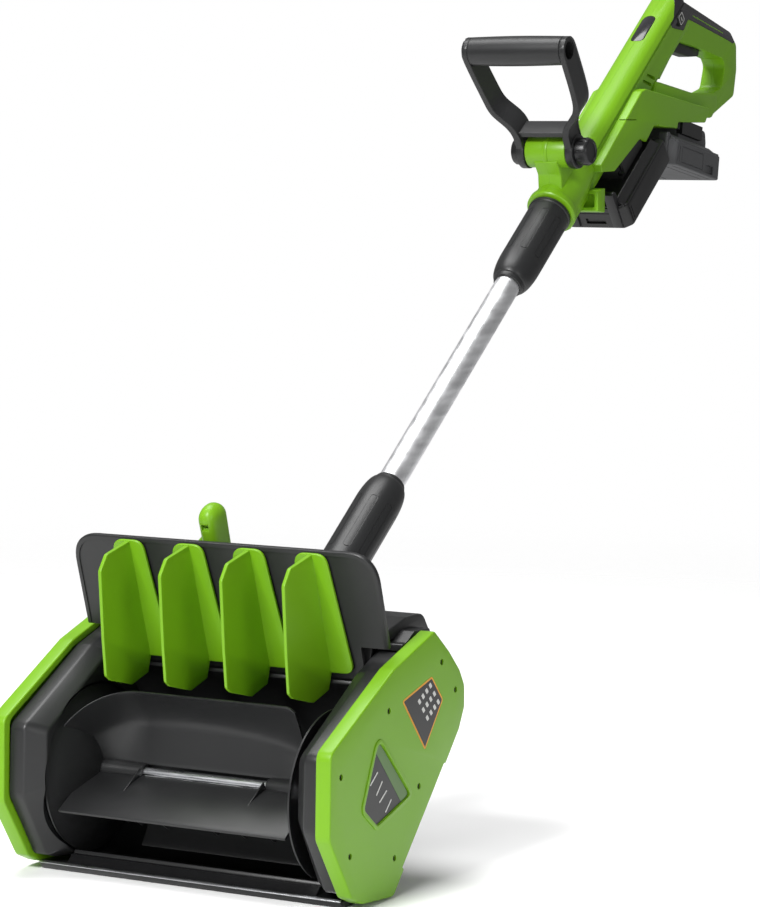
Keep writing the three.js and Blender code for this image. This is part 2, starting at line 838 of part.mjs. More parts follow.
// Space that the batteries and their rails need.
const batterySpace = () =>
  join(
    seated(box(-25.5, 25.5, 24, 128, 36, 53.6), SEATS[0]),
    seated(box(-25.5, 25.5, 34, 128, 36, 53.6), SEATS[1]),
    seated(box(-39, 39, -3, 128, -4, 36), SEATS[0]),
    seated(box(-39, 39, -3, 128, -4, 36), SEATS[1]),
  );

const TRIGGER = { y: 916, z: 724, half: 6.8 };
const triggerCorners = [
  [911, 727, 3],
  [912, 716, 4],
  [930, 708.5, 12],
  [962, 704.5, 14],
  [986, 705.5, 4],
  [989, 716, 4],
  [960, 722, 6],
  [925, 730, 4],
];
const triggerSlot = () =>
  side([[907, 733], [908, 712], [930, 700], [994, 700], [994, 733]], TRIGGER.half + 0.4);

const WINDOW = { along: [608, 652], half: 7, floor: 20.5 };
const windowOval = (extra, high) =>
  slab(
    outline(
      [
        [-WINDOW.half - extra, WINDOW.along[0] - extra, WINDOW.half],
        [WINDOW.half + extra, WINDOW.along[0] - extra, WINDOW.half],
        [WINDOW.half + extra, WINDOW.along[1] + extra, WINDOW.half],
        [-WINDOW.half - extra, WINDOW.along[1] + extra, WINDOW.half],
      ],
      5,
    ),
    WINDOW.floor - extra,
    high,
  );
// The black cover takes in the top of the rear grip and the far end of the spine.
const gripCoverZone = (extra) =>
  side(
    [
      [911.5 - extra, 766],
      [892 - extra, 734 - extra, 2],
      [926.5, 731.5 - extra, 3],
      [937, 743 - extra, 4],
      [948, 743.3 - extra],
      [975, 738.3 - extra],
      [1047, 724 - extra],
      [1061 + extra, 720.5 - extra, 3],
      [1075 + extra, 727],
      [1060, 750],
      [930, 780],
    ],
    60,
  );
const LOCK = { at: [915, 743.5], half: 6.5, travel: 3 };
const [lockS, lockN] = alongPole(...LOCK.at);

const lockHole = () =>
  box(-1, 60, lockS - LOCK.half - GAP, lockS + LOCK.half + GAP, lockN - LOCK.half - GAP, lockN + LOCK.half + GAP);
const handleSolid = cut(
  bodyOuter(),
  bodyHollow(),
  batterySpace(),
  triggerSlot(),
  windowOval(GAP, 60),
  gripCoverZone(GAP),
  lockHole(),
  barX(5.3, -60, 60, ...alongPole(BOSS.y, BOSS.z)),
);
const halfOf = (sign) =>
  handleSolid.intersect(sign > 0 ? box(0.15, 90, 300, 900, -300, 300) : box(-90, -0.15, 300, 900, -300, 300));
place(pole, "handle_half_right", halfOf(1), green);
place(pole, "handle_half_left", halfOf(-1), green);

place(
  pole,
  "status_window",
  windowOval(0, 60).intersect(beam(outline([[-18.4, -25], [18.4, -25], [18.4, 24.4, 17], [-18.4, 24.4, 17]], 5), 600, 680)),
  dark,
);
place(pole, "grip_cover", cut(bodyOuter().intersect(gripCoverZone(0)), bodyHollow(), lockHole()), black);
SEATS.forEach((seat, i) =>
  place(pole, "battery_port_" + (i + 1), seated(seatChannel(40, 90), seat), dark),
);
place(pole, "control_board", box(-12.5, 12.5, 470, 570, -8, -6.4), circuit);
place(pole, "trigger_switch", side([[997, 717.5], [997, 729], [1016, 725], [1016, 714.5]], 7), dark);

// Trigger and lock-off button.
const triggerFrame = new THREE.Group();
triggerFrame.position.set(0, ...alongPole(TRIGGER.y, TRIGGER.z));
pole.add(triggerFrame);
const atTrigger = alongPole(TRIGGER.y, TRIGGER.z);
place(
  triggerFrame,
  "trigger",
  side(triggerCorners, TRIGGER.half, 1.2).translate([0, -atTrigger[0], -atTrigger[1]]),
  black,
);
const lockFrame = new THREE.Group();
lockFrame.position.set(0, lockS, lockN);
pole.add(lockFrame);
place(
  lockFrame,
  "lock_off_button",
  prism(
    outline([
      [-LOCK.half, -LOCK.half, 3],
      [LOCK.half, -LOCK.half, 3],
      [LOCK.half, LOCK.half, 3],
      [-LOCK.half, LOCK.half, 3],
    ]),
    LOCK.travel + 1,
    BODY.half + 1.2,
    0.8,
  ),
  black,
);

// ---------------------------------------------------------------- batteries
// A battery's own frame: y from its nose to its latch end, z from its flat face up to its rails.
function batteryCase(postTop) {
  const { length, half, side: sideHeight, shell } = PACK;
  const belly = slab(
    outline(
      [
        [-half, 6, 4],
        [-half + 6, 0, 4],
        [half - 6, 0, 4],
        [half, 6, 4],
        [half, length, 5],
        [-half, length, 5],
      ],
      2,
    ),
    0,
    sideHeight,
    2,
  );
  const shoulders = beam(
    outline([
      [-half + 0.8, sideHeight - 3],
      [half - 0.8, sideHeight - 3],
      [half - 1, sideHeight],
      [half - 11, shell, 3],
      [-half + 11, shell, 3],
      [-half + 1, sideHeight],
    ]),
    3,
    length - 3,
  );
  let made = join(belly, shoulders);
  for (const x of [-24, 24]) {
    made = join(made, prism(outline([[-2.4, 2, 2], [6, 0.5], [6, postTop], [-2.4, postTop, 2]]), x - 5.5, x + 5.5));
  }
  return made;
}
function slideBlock() {
  const { block, hump, length, shell } = PACK;
  const rail = beam(
    [
      [-22, shell + GAP],
      [22, shell + GAP],
      [22, 38.1],
      [18.4, 38.1],
      [18.4, 42.9],
      [22, 42.9],
      [22, block],
      [-22, block],
      [-22, 42.9],
      [-18.4, 42.9],
      [-18.4, 38.1],
      [-22, 38.1],
    ],
    38,
    94,
  );
  const rear = prism(
    outline([[92, shell + GAP], [92, hump - 3, 2], [109, hump - 3, 5], [length - 2, 40, 3], [length - 2, shell + GAP]]),
    -20,
    20,
    1.5,
  );
  const latchPocket = box(-12.3, 12.3, 99, 130, 40, 70);
  let made = cut(join(rail, rear), latchPocket);
  for (const x of [-13, -4.5, 4.5, 13]) made = cut(made, box(x - 1.2, x + 1.2, 30, 70, 44, 60));
  return made;
}
const batteryLatch = () =>
  prism(outline([[99.4, 43.5], [99.4, 50.5, 3], [108, 51.5, 4], [112.6, 43.5, 2]]), -12, 12, 0.8);
SEATS.forEach((seat, i) => {
  const battery = new THREE.Group();
  battery.position.set(0, ...seat.at);
  battery.rotation.x = seat.tilt * DEG;
  pole.add(battery);
  const n = i + 1;
  place(battery, "battery_case_" + n, batteryCase(seat.postTop), i ? grey : dark);
  place(battery, "battery_slide_block_" + n, slideBlock(), i ? grey : dark);
  place(battery, "battery_latch_" + n, batteryLatch(), green);
});

// ---------------------------------------------------------------- front handle
// Its own frame: the pivot at the origin, local z towards the grip, local y square to that.
const reachY = D_GRIP.y - BOSS.y;
const reachZ = D_GRIP.z - BOSS.z;
const gripReach = Math.hypot(reachY, reachZ);
const front = new THREE.Group();
front.position.set(0, BOSS.y, BOSS.z);
front.rotation.x = Math.atan2(-reachY, reachZ);
root.add(front);

// A strap through stations [z along, y centre, half width, x centre, half thickness].
function strap(stations, sign) {
  const rings = stations.map(([z, y, width, x, thick]) => [
    [x - thick, y - width],
    [x + thick * 0.2, y - width],
    [x + thick, y - width + 3],
    [x + thick, y + width - 3],
    [x + thick * 0.2, y + width],
    [x - thick, y + width],
  ].map(([px, py]) => [sign * px, py, z]));
  const n = rings[0].length;
  const faces = [];
  rings.slice(1).forEach((_, r) => {
    for (let i = 0; i < n; i++) {
      const a = r * n + i;
      const b = r * n + ((i + 1) % n);
      faces.push(a, b, a + n, b, b + n, a + n);
    }
  });
  const last = (rings.length - 1) * n;
  for (let i = 1; i < n - 1; i++) {
    faces.push(0, i + 1, i);
    faces.push(last, last + i, last + i + 1);
  }
  const geometry = new THREE.BufferGeometry();
  geometry.setAttribute("position", new THREE.Float32BufferAttribute(rings.flat(2), 3));
  geometry.setIndex(faces);
  return solid(geometry);
}
function frontHandle() {
  const ringIn = BOSS.half + 0.6;
  const ringOut = BOSS.half + 9;
  const stations = [
    [-6, 0, 12, 26.8, 3.6],
    [22, 2, 13.5, 26.8, 3.6],
    [30, 3, 14, 28.8, 3.6],
    [37, 3.8, 14, 33, 3.8],
    [44, 4.4, 14, 39.2, 3.8],
    [50, 4.6, 14, 44, 3.4],
    [57, 4.6, 14, 47, 3],
    [66, 4.4, 14, 48.6, 2.8],
    [100, 1.5, 14, 51.6, 2.8],
    [gripReach, 0, 14, 53.6, 2.8],
    [gripReach + 8, 0, 11, 53.6, 2.8],
    [gripReach + 13, 0, 5, 53.6, 2.6],
  ];
  let made = barX(11, -54, 54, 0, gripReach);
  for (const sign of [1, -1]) {
    const ring = sign > 0 ? barX(17, ringIn, ringOut) : barX(17, -ringOut, -ringIn);
    made = join(made, strap(stations, sign), ring);
  }
  const tie = box(-26, 26, -8, 13, 24.5, 28);
  const holes = join(barX(5.3, -80, 80), barX(8.8, -80, 80, 0, gripReach));
  return cut(join(made, tie), barX(17.2, -BOSS.half - GAP, BOSS.half + GAP), holes);
}
place(front, "front_handle", frontHandle(), black);
place(
  front,
  "front_grip_sleeve",
  cut(
    turnedX([
      [0, -D_GRIP.half + 2],
      [12.6, -D_GRIP.half + 2],
      [13.4, -30],
      [14, 0],
      [13.4, 30],
      [12.6, D_GRIP.half - 2],
      [0, D_GRIP.half - 2],
    ]).translate([0, 0, gripReach]),
    barX(11 + GAP, -80, 80, 0, gripReach),
  ),
  rubber,
);
const bolt = new THREE.Group();
bolt.position.set(0, BOSS.y, BOSS.z);
root.add(bolt);
place(bolt, "pivot_bolt", join(barX(5, -34.5, 40), barX(9, -37.5, -34.5, 0, 0, 6)), steel);
place(
  bolt,
  "pivot_end_cap",
  cut(
    turnedX([[0, -39.5], [11, -39.5], [13.2, -37.5], [13.2, -31.4], [0, -31.4]]),
    barX(9.4, -37.9, -20),
    barX(5.3, -60, 60),
  ),
  black,
);
const knobFrame = new THREE.Group();
bolt.add(knobFrame);
function clampKnob() {
  let made = turnedX([[0, 31.5], [13.6, 31.5], [13.8, 41], [11.5, 44.2], [0, 44.6]], 36);
  for (let i = 0; i < 8; i++) {
    const a = i * 45 * DEG;
    made = cut(made, barX(2.2, 34, 60, 15 * Math.cos(a), 15 * Math.sin(a), 12));
  }
  return cut(made, barX(5.3, 20, 40.8));
}
place(knobFrame, "clamp_knob", clampKnob(), black);

export default root;
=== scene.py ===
import json
import math

import bmesh
import bpy
from mathutils import Matrix, Vector


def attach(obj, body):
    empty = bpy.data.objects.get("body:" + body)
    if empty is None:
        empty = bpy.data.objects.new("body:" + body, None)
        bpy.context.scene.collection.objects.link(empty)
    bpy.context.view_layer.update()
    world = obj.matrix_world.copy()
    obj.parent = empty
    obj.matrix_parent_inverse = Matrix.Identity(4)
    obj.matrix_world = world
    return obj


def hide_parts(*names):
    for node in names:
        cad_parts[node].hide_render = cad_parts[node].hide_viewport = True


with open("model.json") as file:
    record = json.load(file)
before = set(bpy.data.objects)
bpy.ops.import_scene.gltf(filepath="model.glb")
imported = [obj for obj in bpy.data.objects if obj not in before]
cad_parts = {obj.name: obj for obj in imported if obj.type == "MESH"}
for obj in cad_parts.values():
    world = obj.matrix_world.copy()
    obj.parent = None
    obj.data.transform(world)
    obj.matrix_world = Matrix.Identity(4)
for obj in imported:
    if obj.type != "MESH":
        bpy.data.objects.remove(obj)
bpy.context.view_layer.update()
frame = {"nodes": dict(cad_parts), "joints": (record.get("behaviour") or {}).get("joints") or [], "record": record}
JOINTS = {joint["name"]: joint for joint in frame["joints"]}
NODES = frame["nodes"]

# Outlines and sizes below are in millimetres; everything that is made is in metres.
MM = 0.001


def mm(value):
    return value * MM


# ---------------- frames taken from the joints
def frame_along(joint):
    """A matrix at a joint whose y axis is the joint's axis and whose x axis is the row's X."""
    x = Vector((1, 0, 0))
    y = Vector(joint["axis"]).normalized()
    z = x.cross(y).normalized()
    return Matrix.Translation(joint["pos_m"]) @ Matrix((x, y, z)).transposed().to_4x4()


def tilt_x(degrees):
    return Matrix.Rotation(math.radians(degrees), 4, "X")


IDENTITY = Matrix.Identity(4)
POLE = frame_along(JOINTS["upper_nut_twist"])
ROTOR_AT = Vector(JOINTS["rotor_spin"]["pos_m"])
ROTOR_YZ = (ROTOR_AT.y / MM, ROTOR_AT.z / MM)
PIVOT_AT = Vector(JOINTS["front_grip_tilt"]["pos_m"])
PIVOT_YZ = (PIVOT_AT.y / MM, PIVOT_AT.z / MM)


def place(name, data):
    """A linked object that holds a mesh, a light or a camera."""
    obj = bpy.data.objects.new(name, data)
    bpy.context.scene.collection.objects.link(obj)
    return obj


# ---------------- camera, light and floor
BACKGROUND = 1.0  # how bright the backdrop looks
AMBIENT = 0.24  # how much of it falls on the object
LOOKS_DOWN, FROM_THE_RIGHT = 5.69, 30  # the camera's direction in degrees


def make_camera():
    data = bpy.data.cameras.new("camera")
    camera = place("camera", data)
    data.sensor_width = 36
    data.lens = 132.5
    data.clip_start = 0.05
    data.clip_end = 100
    camera.location = (1.5075, -2.2944, 0.6369)
    camera.rotation_euler = (math.radians(90 - LOOKS_DOWN), 0, math.radians(FROM_THE_RIGHT))
    bpy.context.scene.camera = camera


def area_light(name, spot, target, size, power):
    data = bpy.data.lights.new(name, "AREA")
    data.shape = "RECTANGLE"
    data.size, data.size_y = size
    data.energy = power
    light = place(name, data)
    light.location = spot
    aim = Vector(target) - Vector(spot)
    light.rotation_euler = aim.to_track_quat("-Z", "Y").to_euler()


def make_studio():
    scene = bpy.context.scene
    scene.view_settings.view_transform = "Standard"
    scene.view_settings.look = "None"
    world = bpy.data.worlds.new("studio")
    scene.world = world
    world.use_nodes = True
    nodes, links = world.node_tree.nodes, world.node_tree.links
    background = nodes["Background"]
    background.inputs["Color"].default_value = (1, 1, 1, 1)
    seen = nodes.new("ShaderNodeLightPath")
    strength = nodes.new("ShaderNodeMapRange")
    strength.inputs["To Min"].default_value = AMBIENT
    strength.inputs["To Max"].default_value = BACKGROUND
    links.new(seen.outputs["Is Camera Ray"], strength.inputs["Value"])
    links.new(strength.outputs["Result"], background.inputs["Strength"])
    head = (0, 0.1, 0.15)
    middle = (0, 0.4, 0.4)
    area_light("key_front", (-0.3, -3.2, 2.9), middle, (1.0, 1.0), 185)
    area_light("top_soft", (-0.5, 0.3, 3.1), middle, (1.6, 2.2), 85)
    area_light("fill_right", (3.0, -1.6, 1.2), middle, (0.8, 1.6), 18)
    area_light("front_low", (0.8, -2.8, 0.4), head, (1.4, 0.5), 10)

    floor = bpy.data.meshes.new("floor")
    half = 40
    corners = [(-half, -half, 0), (half, -half, 0), (half, half, 0), (-half, half, 0)]
    floor.from_pydata(corners, [], [(0, 1, 2, 3)])
    ground = place("floor", floor)
    ground.location.z = -0.0004
    ground.data.materials.append(floor_material())


def floor_material():
    """A pale floor that fades out into the background far from the object."""
    material = bpy.data.materials.new("pale_floor")
    material.use_nodes = True
    nodes, links = material.node_tree.nodes, material.node_tree.links
    nodes.clear()
    output = nodes.new("ShaderNodeOutputMaterial")
    mix = nodes.new("ShaderNodeMixShader")
    near = nodes.new("ShaderNodeBsdfDiffuse")
    near.inputs["Color"].default_value = (0.93, 0.93, 0.93, 1)
    far = nodes.new("ShaderNodeBsdfTransparent")
    geometry = nodes.new("ShaderNodeNewGeometry")
    length = nodes.new("ShaderNodeVectorMath")
    length.operation = "LENGTH"
    fade = nodes.new("ShaderNodeMapRange")
    fade.inputs["From Min"].default_value = 0.7
    fade.inputs["From Max"].default_value = 2.6
    fade.interpolation_type = "SMOOTHSTEP"
    links.new(geometry.outputs["Position"], length.inputs[0])
    links.new(length.outputs["Value"], fade.inputs["Value"])
    links.new(fade.outputs["Result"], mix.inputs["Fac"])
    links.new(near.outputs["BSDF"], mix.inputs[1])
    links.new(far.outputs["BSDF"], mix.inputs[2])
    links.new(mix.outputs["Shader"], output.inputs["Surface"])
    return material


make_camera()
make_studio()


# ---------------- materials
def new_material(name):
    material = bpy.data.materials.new(name)
    material.use_nodes = True
    nodes = material.node_tree.nodes
    return material, nodes, material.node_tree.links, nodes["Principled BSDF"]


def noise(nodes, links, scale, detail=3.0, stretch=(1, 1, 1)):
    """Noise in the object's own space, so it rides with the piece."""
    coordinates = nodes.new("ShaderNodeTexCoord")
    mapping = nodes.new("ShaderNodeMapping")
    mapping.inputs["Scale"].default_value = stretch
    texture = nodes.new("ShaderNodeTexNoise")
    texture.inputs["Scale"].default_value = scale
    texture.inputs["Detail"].default_value = detail
    links.new(coordinates.outputs["Object"], mapping.inputs["Vector"])
    links.new(mapping.outputs["Vector"], texture.inputs["Vector"])
    return texture.outputs["Fac"]


def ramp(nodes, links, value, low, high):
    """Value 0.3 to 0.7 mapped onto two grey levels or two colours."""
    node = nodes.new("ShaderNodeValToRGB")
    node.color_ramp.elements[0].position = 0.3
    node.color_ramp.elements[1].position = 0.7
    for element, colour in zip(node.color_ramp.elements, (low, high)):
        element.color = (*colour, 1) if isinstance(colour, tuple) else (colour, colour, colour, 1)
    links.new(value, node.inputs["Fac"])
    return node.outputs["Color"]


def bump(nodes, links, value, strength, distance):
    node = nodes.new("ShaderNodeBump")
    node.inputs["Strength"].default_value = strength
    node.inputs["Distance"].default_value = distance
    links.new(value, node.inputs["Height"])
    return node.outputs["Normal"]


def moulded(name, colour, rough, grain=0.05, grain_scale=1800.0, shade=0.12, coat=0.0, shine=0.4):
    """Moulded plastic: a fine grain, a slow drift in colour and a patchy gloss."""
    material, nodes, links, shader = new_material(name)
    drift = noise(nodes, links, 9.0)
    dark = tuple(c * (1 - shade) for c in colour)
    light = tuple(min(1.0, c * (1 + shade)) for c in colour)
    links.new(ramp(nodes, links, drift, dark, light), shader.inputs["Base Color"])
    patchy = noise(nodes, links, 55.0, 4.0)
    links.new(ramp(nodes, links, patchy, rough - 0.015, rough + 0.02), shader.inputs["Roughness"])
    fine = noise(nodes, links, grain_scale, 2.0)
    links.new(bump(nodes, links, fine, grain, 0.0004), shader.inputs["Normal"])
    shader.inputs["Specular IOR Level"].default_value = shine
    shader.inputs["Coat Weight"].default_value = coat
    shader.inputs["Coat Roughness"].default_value = 0.25
    return material


def metal(name, colour, rough, stretch, scale=900.0, strength=0.08):
    """Metal with fine scratches drawn out along one direction."""
    material, nodes, links, shader = new_material(name)
    shader.inputs["Metallic"].default_value = 1.0
    drawn = noise(nodes, links, scale, 3.0, stretch)
    dark = tuple(c * 0.86 for c in colour)
    links.new(ramp(nodes, links, drawn, dark, colour), shader.inputs["Base Color"])
    links.new(ramp(nodes, links, drawn, rough - 0.06, rough + 0.08), shader.inputs["Roughness"])
    links.new(bump(nodes, links, drawn, strength, 0.0003), shader.inputs["Normal"])
    return material


GREEN = moulded("green_plastic", (0.15, 0.345, 0.007), 0.38, 0.012, shade=0.015, coat=0.08, shine=0.3)
BLACK = moulded("black_plastic", (0.014, 0.0143, 0.0148), 0.38, 0.05, 2400.0, shade=0.05)
DARK = moulded("dark_plastic", (0.007, 0.007, 0.0075), 0.33, 0.04, 2400.0, shade=0.05)
GREY = moulded("grey_plastic", (0.06, 0.061, 0.064), 0.45, 0.06, 2400.0, shade=0.05)
RUBBER = moulded("soft_rubber", (0.018, 0.018, 0.019), 0.62, 0.2, 1500.0)
GLOSS = moulded("gloss_black", (0.012, 0.011, 0.014), 0.14, 0.0, shade=0.05, coat=0.4)
STEEL = metal("bright_steel", (0.62, 0.63, 0.65), 0.3, (0.05, 1, 1))
TUBE = metal("anodised_tube", (0.86, 0.865, 0.88), 0.46, (1, 0.02, 1), 160.0, 0.01)
YELLOW = moulded("label_yellow", (0.75, 0.33, 0.02), 0.4, 0.0)
WHITE = moulded("print_white", (0.62, 0.62, 0.6), 0.5, 0.0)
BADGE_GREEN = moulded("badge_green", (0.07, 0.16, 0.03), 0.3, 0.0)
BOARD = moulded("circuit_board", (0.02, 0.13, 0.05), 0.4, 0.02)
BY_SLOT = {"green_plastic": GREEN, "black_plastic": BLACK, "dark_plastic": DARK, "grey_plastic": GREY,
    "soft_rubber": RUBBER, "steel": STEEL, "aluminium_tube": TUBE, "circuit_board": BOARD}
SLOT_OF = {material.name: slot for slot, material in BY_SLOT.items()}
SLOT_OF.update({"gloss_black": "dark_plastic", "label_yellow": "green_plastic",
    "print_white": "grey_plastic", "badge_green": "green_plastic"})


# ---------------- mesh tools
def rounded(corners, steps=6):
    """Points of a closed outline of (u, v) or (u, v, radius) corners; a radius becomes an arc."""
    points = []
    count = len(corners)
    for i, corner in enumerate(corners):
        here = Vector(corner[:2])
        radius = corner[2] if len(corner) > 2 else 0
        if not radius:
            points.append(here)
            continue
        back = Vector(corners[i - 1][:2]) - here
        ahead = Vector(corners[(i + 1) % count][:2]) - here
        half = back.angle(ahead) / 2
        reach = min(radius / math.tan(half), back.length * 0.49, ahead.length * 0.49)
        start = here + back.normalized() * reach
        end = here + ahead.normalized() * reach
        for k in range(steps + 1):
            t = k / steps
            points.append(start * (1 - t) ** 2 + here * 2 * t * (1 - t) + end * t * t)
    return points


def circle(radius, centre=(0, 0), sides=32):
    angles = [2 * math.pi * k / sides for k in range(sides)]
    return [Vector((centre[0] + radius * math.cos(a), centre[1] + radius * math.sin(a))) for a in angles]


def link(name, bm, matrix=IDENTITY):
    """A linked object from a bmesh built in millimetres in a local frame."""
    bmesh.ops.remove_doubles(bm, verts=bm.verts, dist=1e-4)
    bmesh.ops.recalc_face_normals(bm, faces=bm.faces)
    mesh = bpy.data.meshes.new(name)
    bm.to_mesh(mesh)
    bm.free()
    mesh.transform(Matrix.Scale(MM, 4))
    mesh.transform(matrix)
    return place(name, mesh)


AXES = {"X": lambda u, v, w: Vector((w, u, v)), "Y": lambda u, v, w: Vector((u, w, v)), "Z": lambda u,
    v, w: Vector((u, v, w))}


def prism(name, points, low, high, axis="X", matrix=IDENTITY):
    """An outline swept along an axis: on X the outline is (y, z), on Y (x, z), on Z (x, y)."""
    low, high = sorted((low, high))
    bm = bmesh.new()
    at = AXES[axis]
    bottom, top = ([bm.verts.new(at(p[0], p[1], end)) for p in points] for end in (low, high))
    bm.faces.new(bottom)
    bm.faces.new(top)
    count = len(points)
    for i in range(count):
        j = (i + 1) % count
        bm.faces.new((bottom[i], bottom[j], top[j], top[i]))
    return link(name, bm, matrix)


def skin(name, rings, matrix=IDENTITY, closed=False):
    """A surface through rings of 3-D points in millimetres, capped at its ends unless it is closed."""
    bm = bmesh.new()
    loops = [[bm.verts.new(p) for p in ring] for ring in rings]
    count = len(loops[0])
    pairs = list(zip(loops, loops[1:]))
    if closed:
        pairs.append((loops[-1], loops[0]))
    for a, b in pairs:
        for i in range(count):
            j = (i + 1) % count
            bm.faces.new((a[i], a[j], b[j], b[i]))
    if not closed:
        bm.faces.new(loops[0])
        bm.faces.new(loops[-1])
    return link(name, bm, matrix)


def turned(name, profile, axis="Y", sides=48, matrix=IDENTITY, centre=(0, 0)):
    """A profile of (radius, along) points turned about an axis; it may start and end on the axis."""
    at = AXES[axis]
    rings = []
    for radius, along in profile:
        r = max(radius, 1e-3)
        rings.append([at(p.x, p.y, along) for p in circle(r, centre, sides)])
    if profile[0] == profile[-1]:
        return skin(name, rings[:-1], matrix, closed=True)
    return skin(name, rings, matrix)


def bar(name, radius, low, high, axis="X", centre=(0, 0), sides=40, matrix=IDENTITY):
    return prism(name, circle(radius, centre, sides), low, high, axis, matrix)


def block(name, x0, x1, y0, y1, z0, z1, matrix=IDENTITY):
    return prism(name, [(y0, z0), (y1, z0), (y1, z1), (y0, z1)], x0, x1, "X", matrix)


def bake(obj):
    """Applies all of an object's modifiers."""
    depsgraph = bpy.context.evaluated_depsgraph_get()
    mesh = bpy.data.meshes.new_from_object(obj.evaluated_get(depsgraph))
    obj.modifiers.clear()
    obj.data = mesh
    return obj


def boolean(obj, others, operation="DIFFERENCE"):
    """Joins or cuts obj with each of the others, which are then deleted."""
    for other in others:
        modifier = obj.modifiers.new("cut", "BOOLEAN")
        modifier.operation = operation
        modifier.object = other
        modifier.solver = "MANIFOLD"
    bake(obj)
    for other in others:
        bpy.data.objects.remove(other)
    return obj


def join(obj, *others):
    return boolean(obj, others, "UNION")


def cut(obj, *others):
    return boolean(obj, others, "DIFFERENCE")


def duplicate(obj, name):
    return place(name, obj.data.copy())


def soften(obj, width=1.0, segments=3, angle=28):
    """Rounds the edges that are sharper than the angle."""
    modifier = obj.modifiers.new("edges", "BEVEL")
    modifier.width = mm(width)
    modifier.segments = segments
    modifier.limit_method = "ANGLE"
    modifier.angle_limit = math.radians(angle)
    return bake(obj)


def finish(obj, material, body, angle=32):
    """Smooth shading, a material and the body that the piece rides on."""
    mesh = obj.data
    mesh.materials.clear()
    mesh.materials.append(material)
    mesh.shade_smooth()
    mesh.set_sharp_from_angle(angle=math.radians(angle))
    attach(obj, body)
    return obj


def body_of(node):
    for name, members in frame["record"]["behaviour"]["bodies"].items():
        if node in members:
            return name
    raise KeyError(node)


def stands_for(obj, node, material, angle=32):
    """The finished piece replaces a CAD node and rides on that node's body."""
    finish(obj, material, body_of(node), angle)
    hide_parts(node)
    return obj


def paint_cad():
    """Every CAD node gets its slot's material and slightly rounded edges."""
    slots = {part["node"]: part["material_slot"] for part in frame["record"]["subparts"]}
    for name, obj in NODES.items():
        obj.data.materials.clear()
        obj.data.materials.append(BY_SLOT[slots[name]])
        edges = obj.modifiers.new("edges", "BEVEL")
        edges.width = mm(0.35)
        edges.segments = 2
        edges.limit_method = "ANGLE"
        edges.angle_limit = math.radians(40)


paint_cad()


# ---------------- head: covers
HALF_COVER = 168  # outside faces of the green covers
HALF_BLADE = 149.7
JOINT_X = 153  # where a side wall meets its green cover
FACE = HALF_COVER - 0.8  # the cover's face, just below its raised rim
COVER_OUTLINE = [(-51, 136, 12), (-53, 66, 12), (-18, 12.5, 10), (0, 4.6, 8), (50, 0.8, 8), (68, 20.5),
    (65.6, 22.6), (136, 97.6), (139, 97.6), (162, 123, 14), (171.5, 141, 10), (171.5, 160, 14),
    (163, 174, 14), (145, 192, 18), (119, 213, 5), (50, 190, 10)]
COVER_SCREWS = [(131, 185), (155, 158), (42, 157), (-35, 115), (92, 86), (-21, 48), (51, 33)]
CAUTION_KITE = [(114, 175.5, 3), (133.5, 153, 4), (102, 114.5, 2), (63, 162, 3)]
BADGE = [(24, 143.5, 12), (84, 80, 9), (21, 61, 9), (-4, 81, 9)]


def scaled(points, factor, centre):
    centre = Vector(centre)
    return [centre + (Vector(p[:2]) - centre) * factor for p in points]


def inset(points, distance):
    """An outline moved inwards by a distance, corner by corner."""
    count = len(points)
    area = sum(
        points[i][0] * points[(i + 1) % count][1] - points[(i + 1) % count][0] * points[i][1]
        for i in range(count)
    )
    turn = 1 if area > 0 else -1
    moved = []
    for i, p in enumerate(points):
        before = (p - points[i - 1]).normalized()
        after = (points[(i + 1) % count] - p).normalized()
        normal = Vector((-(before.y + after.y), before.x + after.x)) * turn
        normal.normalize()
        cosine = max(0.35, Vector((-before.y, before.x)).dot(normal) * turn)
        moved.append(p + normal * (distance / cosine))
    return moved


def plate_x(name, points, x0, x1, sign):
    """A plate on one side of the middle: on the right for sign 1, on the left for -1."""
    return prism(name, points, x0 * sign, x1 * sign)


def side_cover(side, sign):
    outline = rounded(COVER_OUTLINE, 8)
    shell = plate_x("cover_" + side, outline, JOINT_X, FACE, sign)
    soften(shell, 2.2, 4, 50)
    cut(shell, plate_x("pocket", scaled(outline, 0.93, (60, 106)), JOINT_X - 8, FACE - 3.2, sign))
    # Counterbored screw holes round the face.
    holes = []
    for y, z in COVER_SCREWS:
        holes.append(bar("hole", 2.7, (FACE - 2.6) * sign, 200 * sign, centre=(y, z), sides=24))
    badge = rounded(BADGE, 8)
    holes.append(plate_x("badge_recess", inset(badge, 4.2), FACE - 1.0, 200, sign))
    kite = rounded(CAUTION_KITE, 5)
    holes.append(plate_x("kite_recess", kite, FACE - 0.25, 200, sign))
    cut(shell, *holes)
    rim = plate_x("badge_rim", badge, FACE - 1.5, HALF_COVER, sign)
    cut(rim, plate_x("inside", inset(badge, 3.6), FACE - 5, 200, sign))
    soften(rim, 0.8, 3, 40)
    join(shell, rim)
    stands_for(shell, "side_cover_" + side, GREEN, 30)
    for i, (y, z) in enumerate(COVER_SCREWS):
        screw(f"cover_screw_{side}_{i + 1}", (y, z), sign)
    cover_labels(side, sign, badge, kite)


def screw(name, centre, sign):
    """A dark pan-head screw with a cross recess, down in its hole."""
    top = FACE - 1.2
    head = bar(name, 2.45, (top - 1.3) * sign, top * sign, centre=centre, sides=24)
    soften(head, 0.4, 2, 40)
    y, z = centre
    slots = []
    for a, b in ((1.6, 0.35), (0.35, 1.6)):
        corners = [(y - a, z - b), (y + a, z - b), (y + a, z + b), (y - a, z + b)]
        slots.append(plate_x("slot", corners, top - 0.8, 200, sign))
    cut(head, *slots)
    finish(head, DARK, "frame")


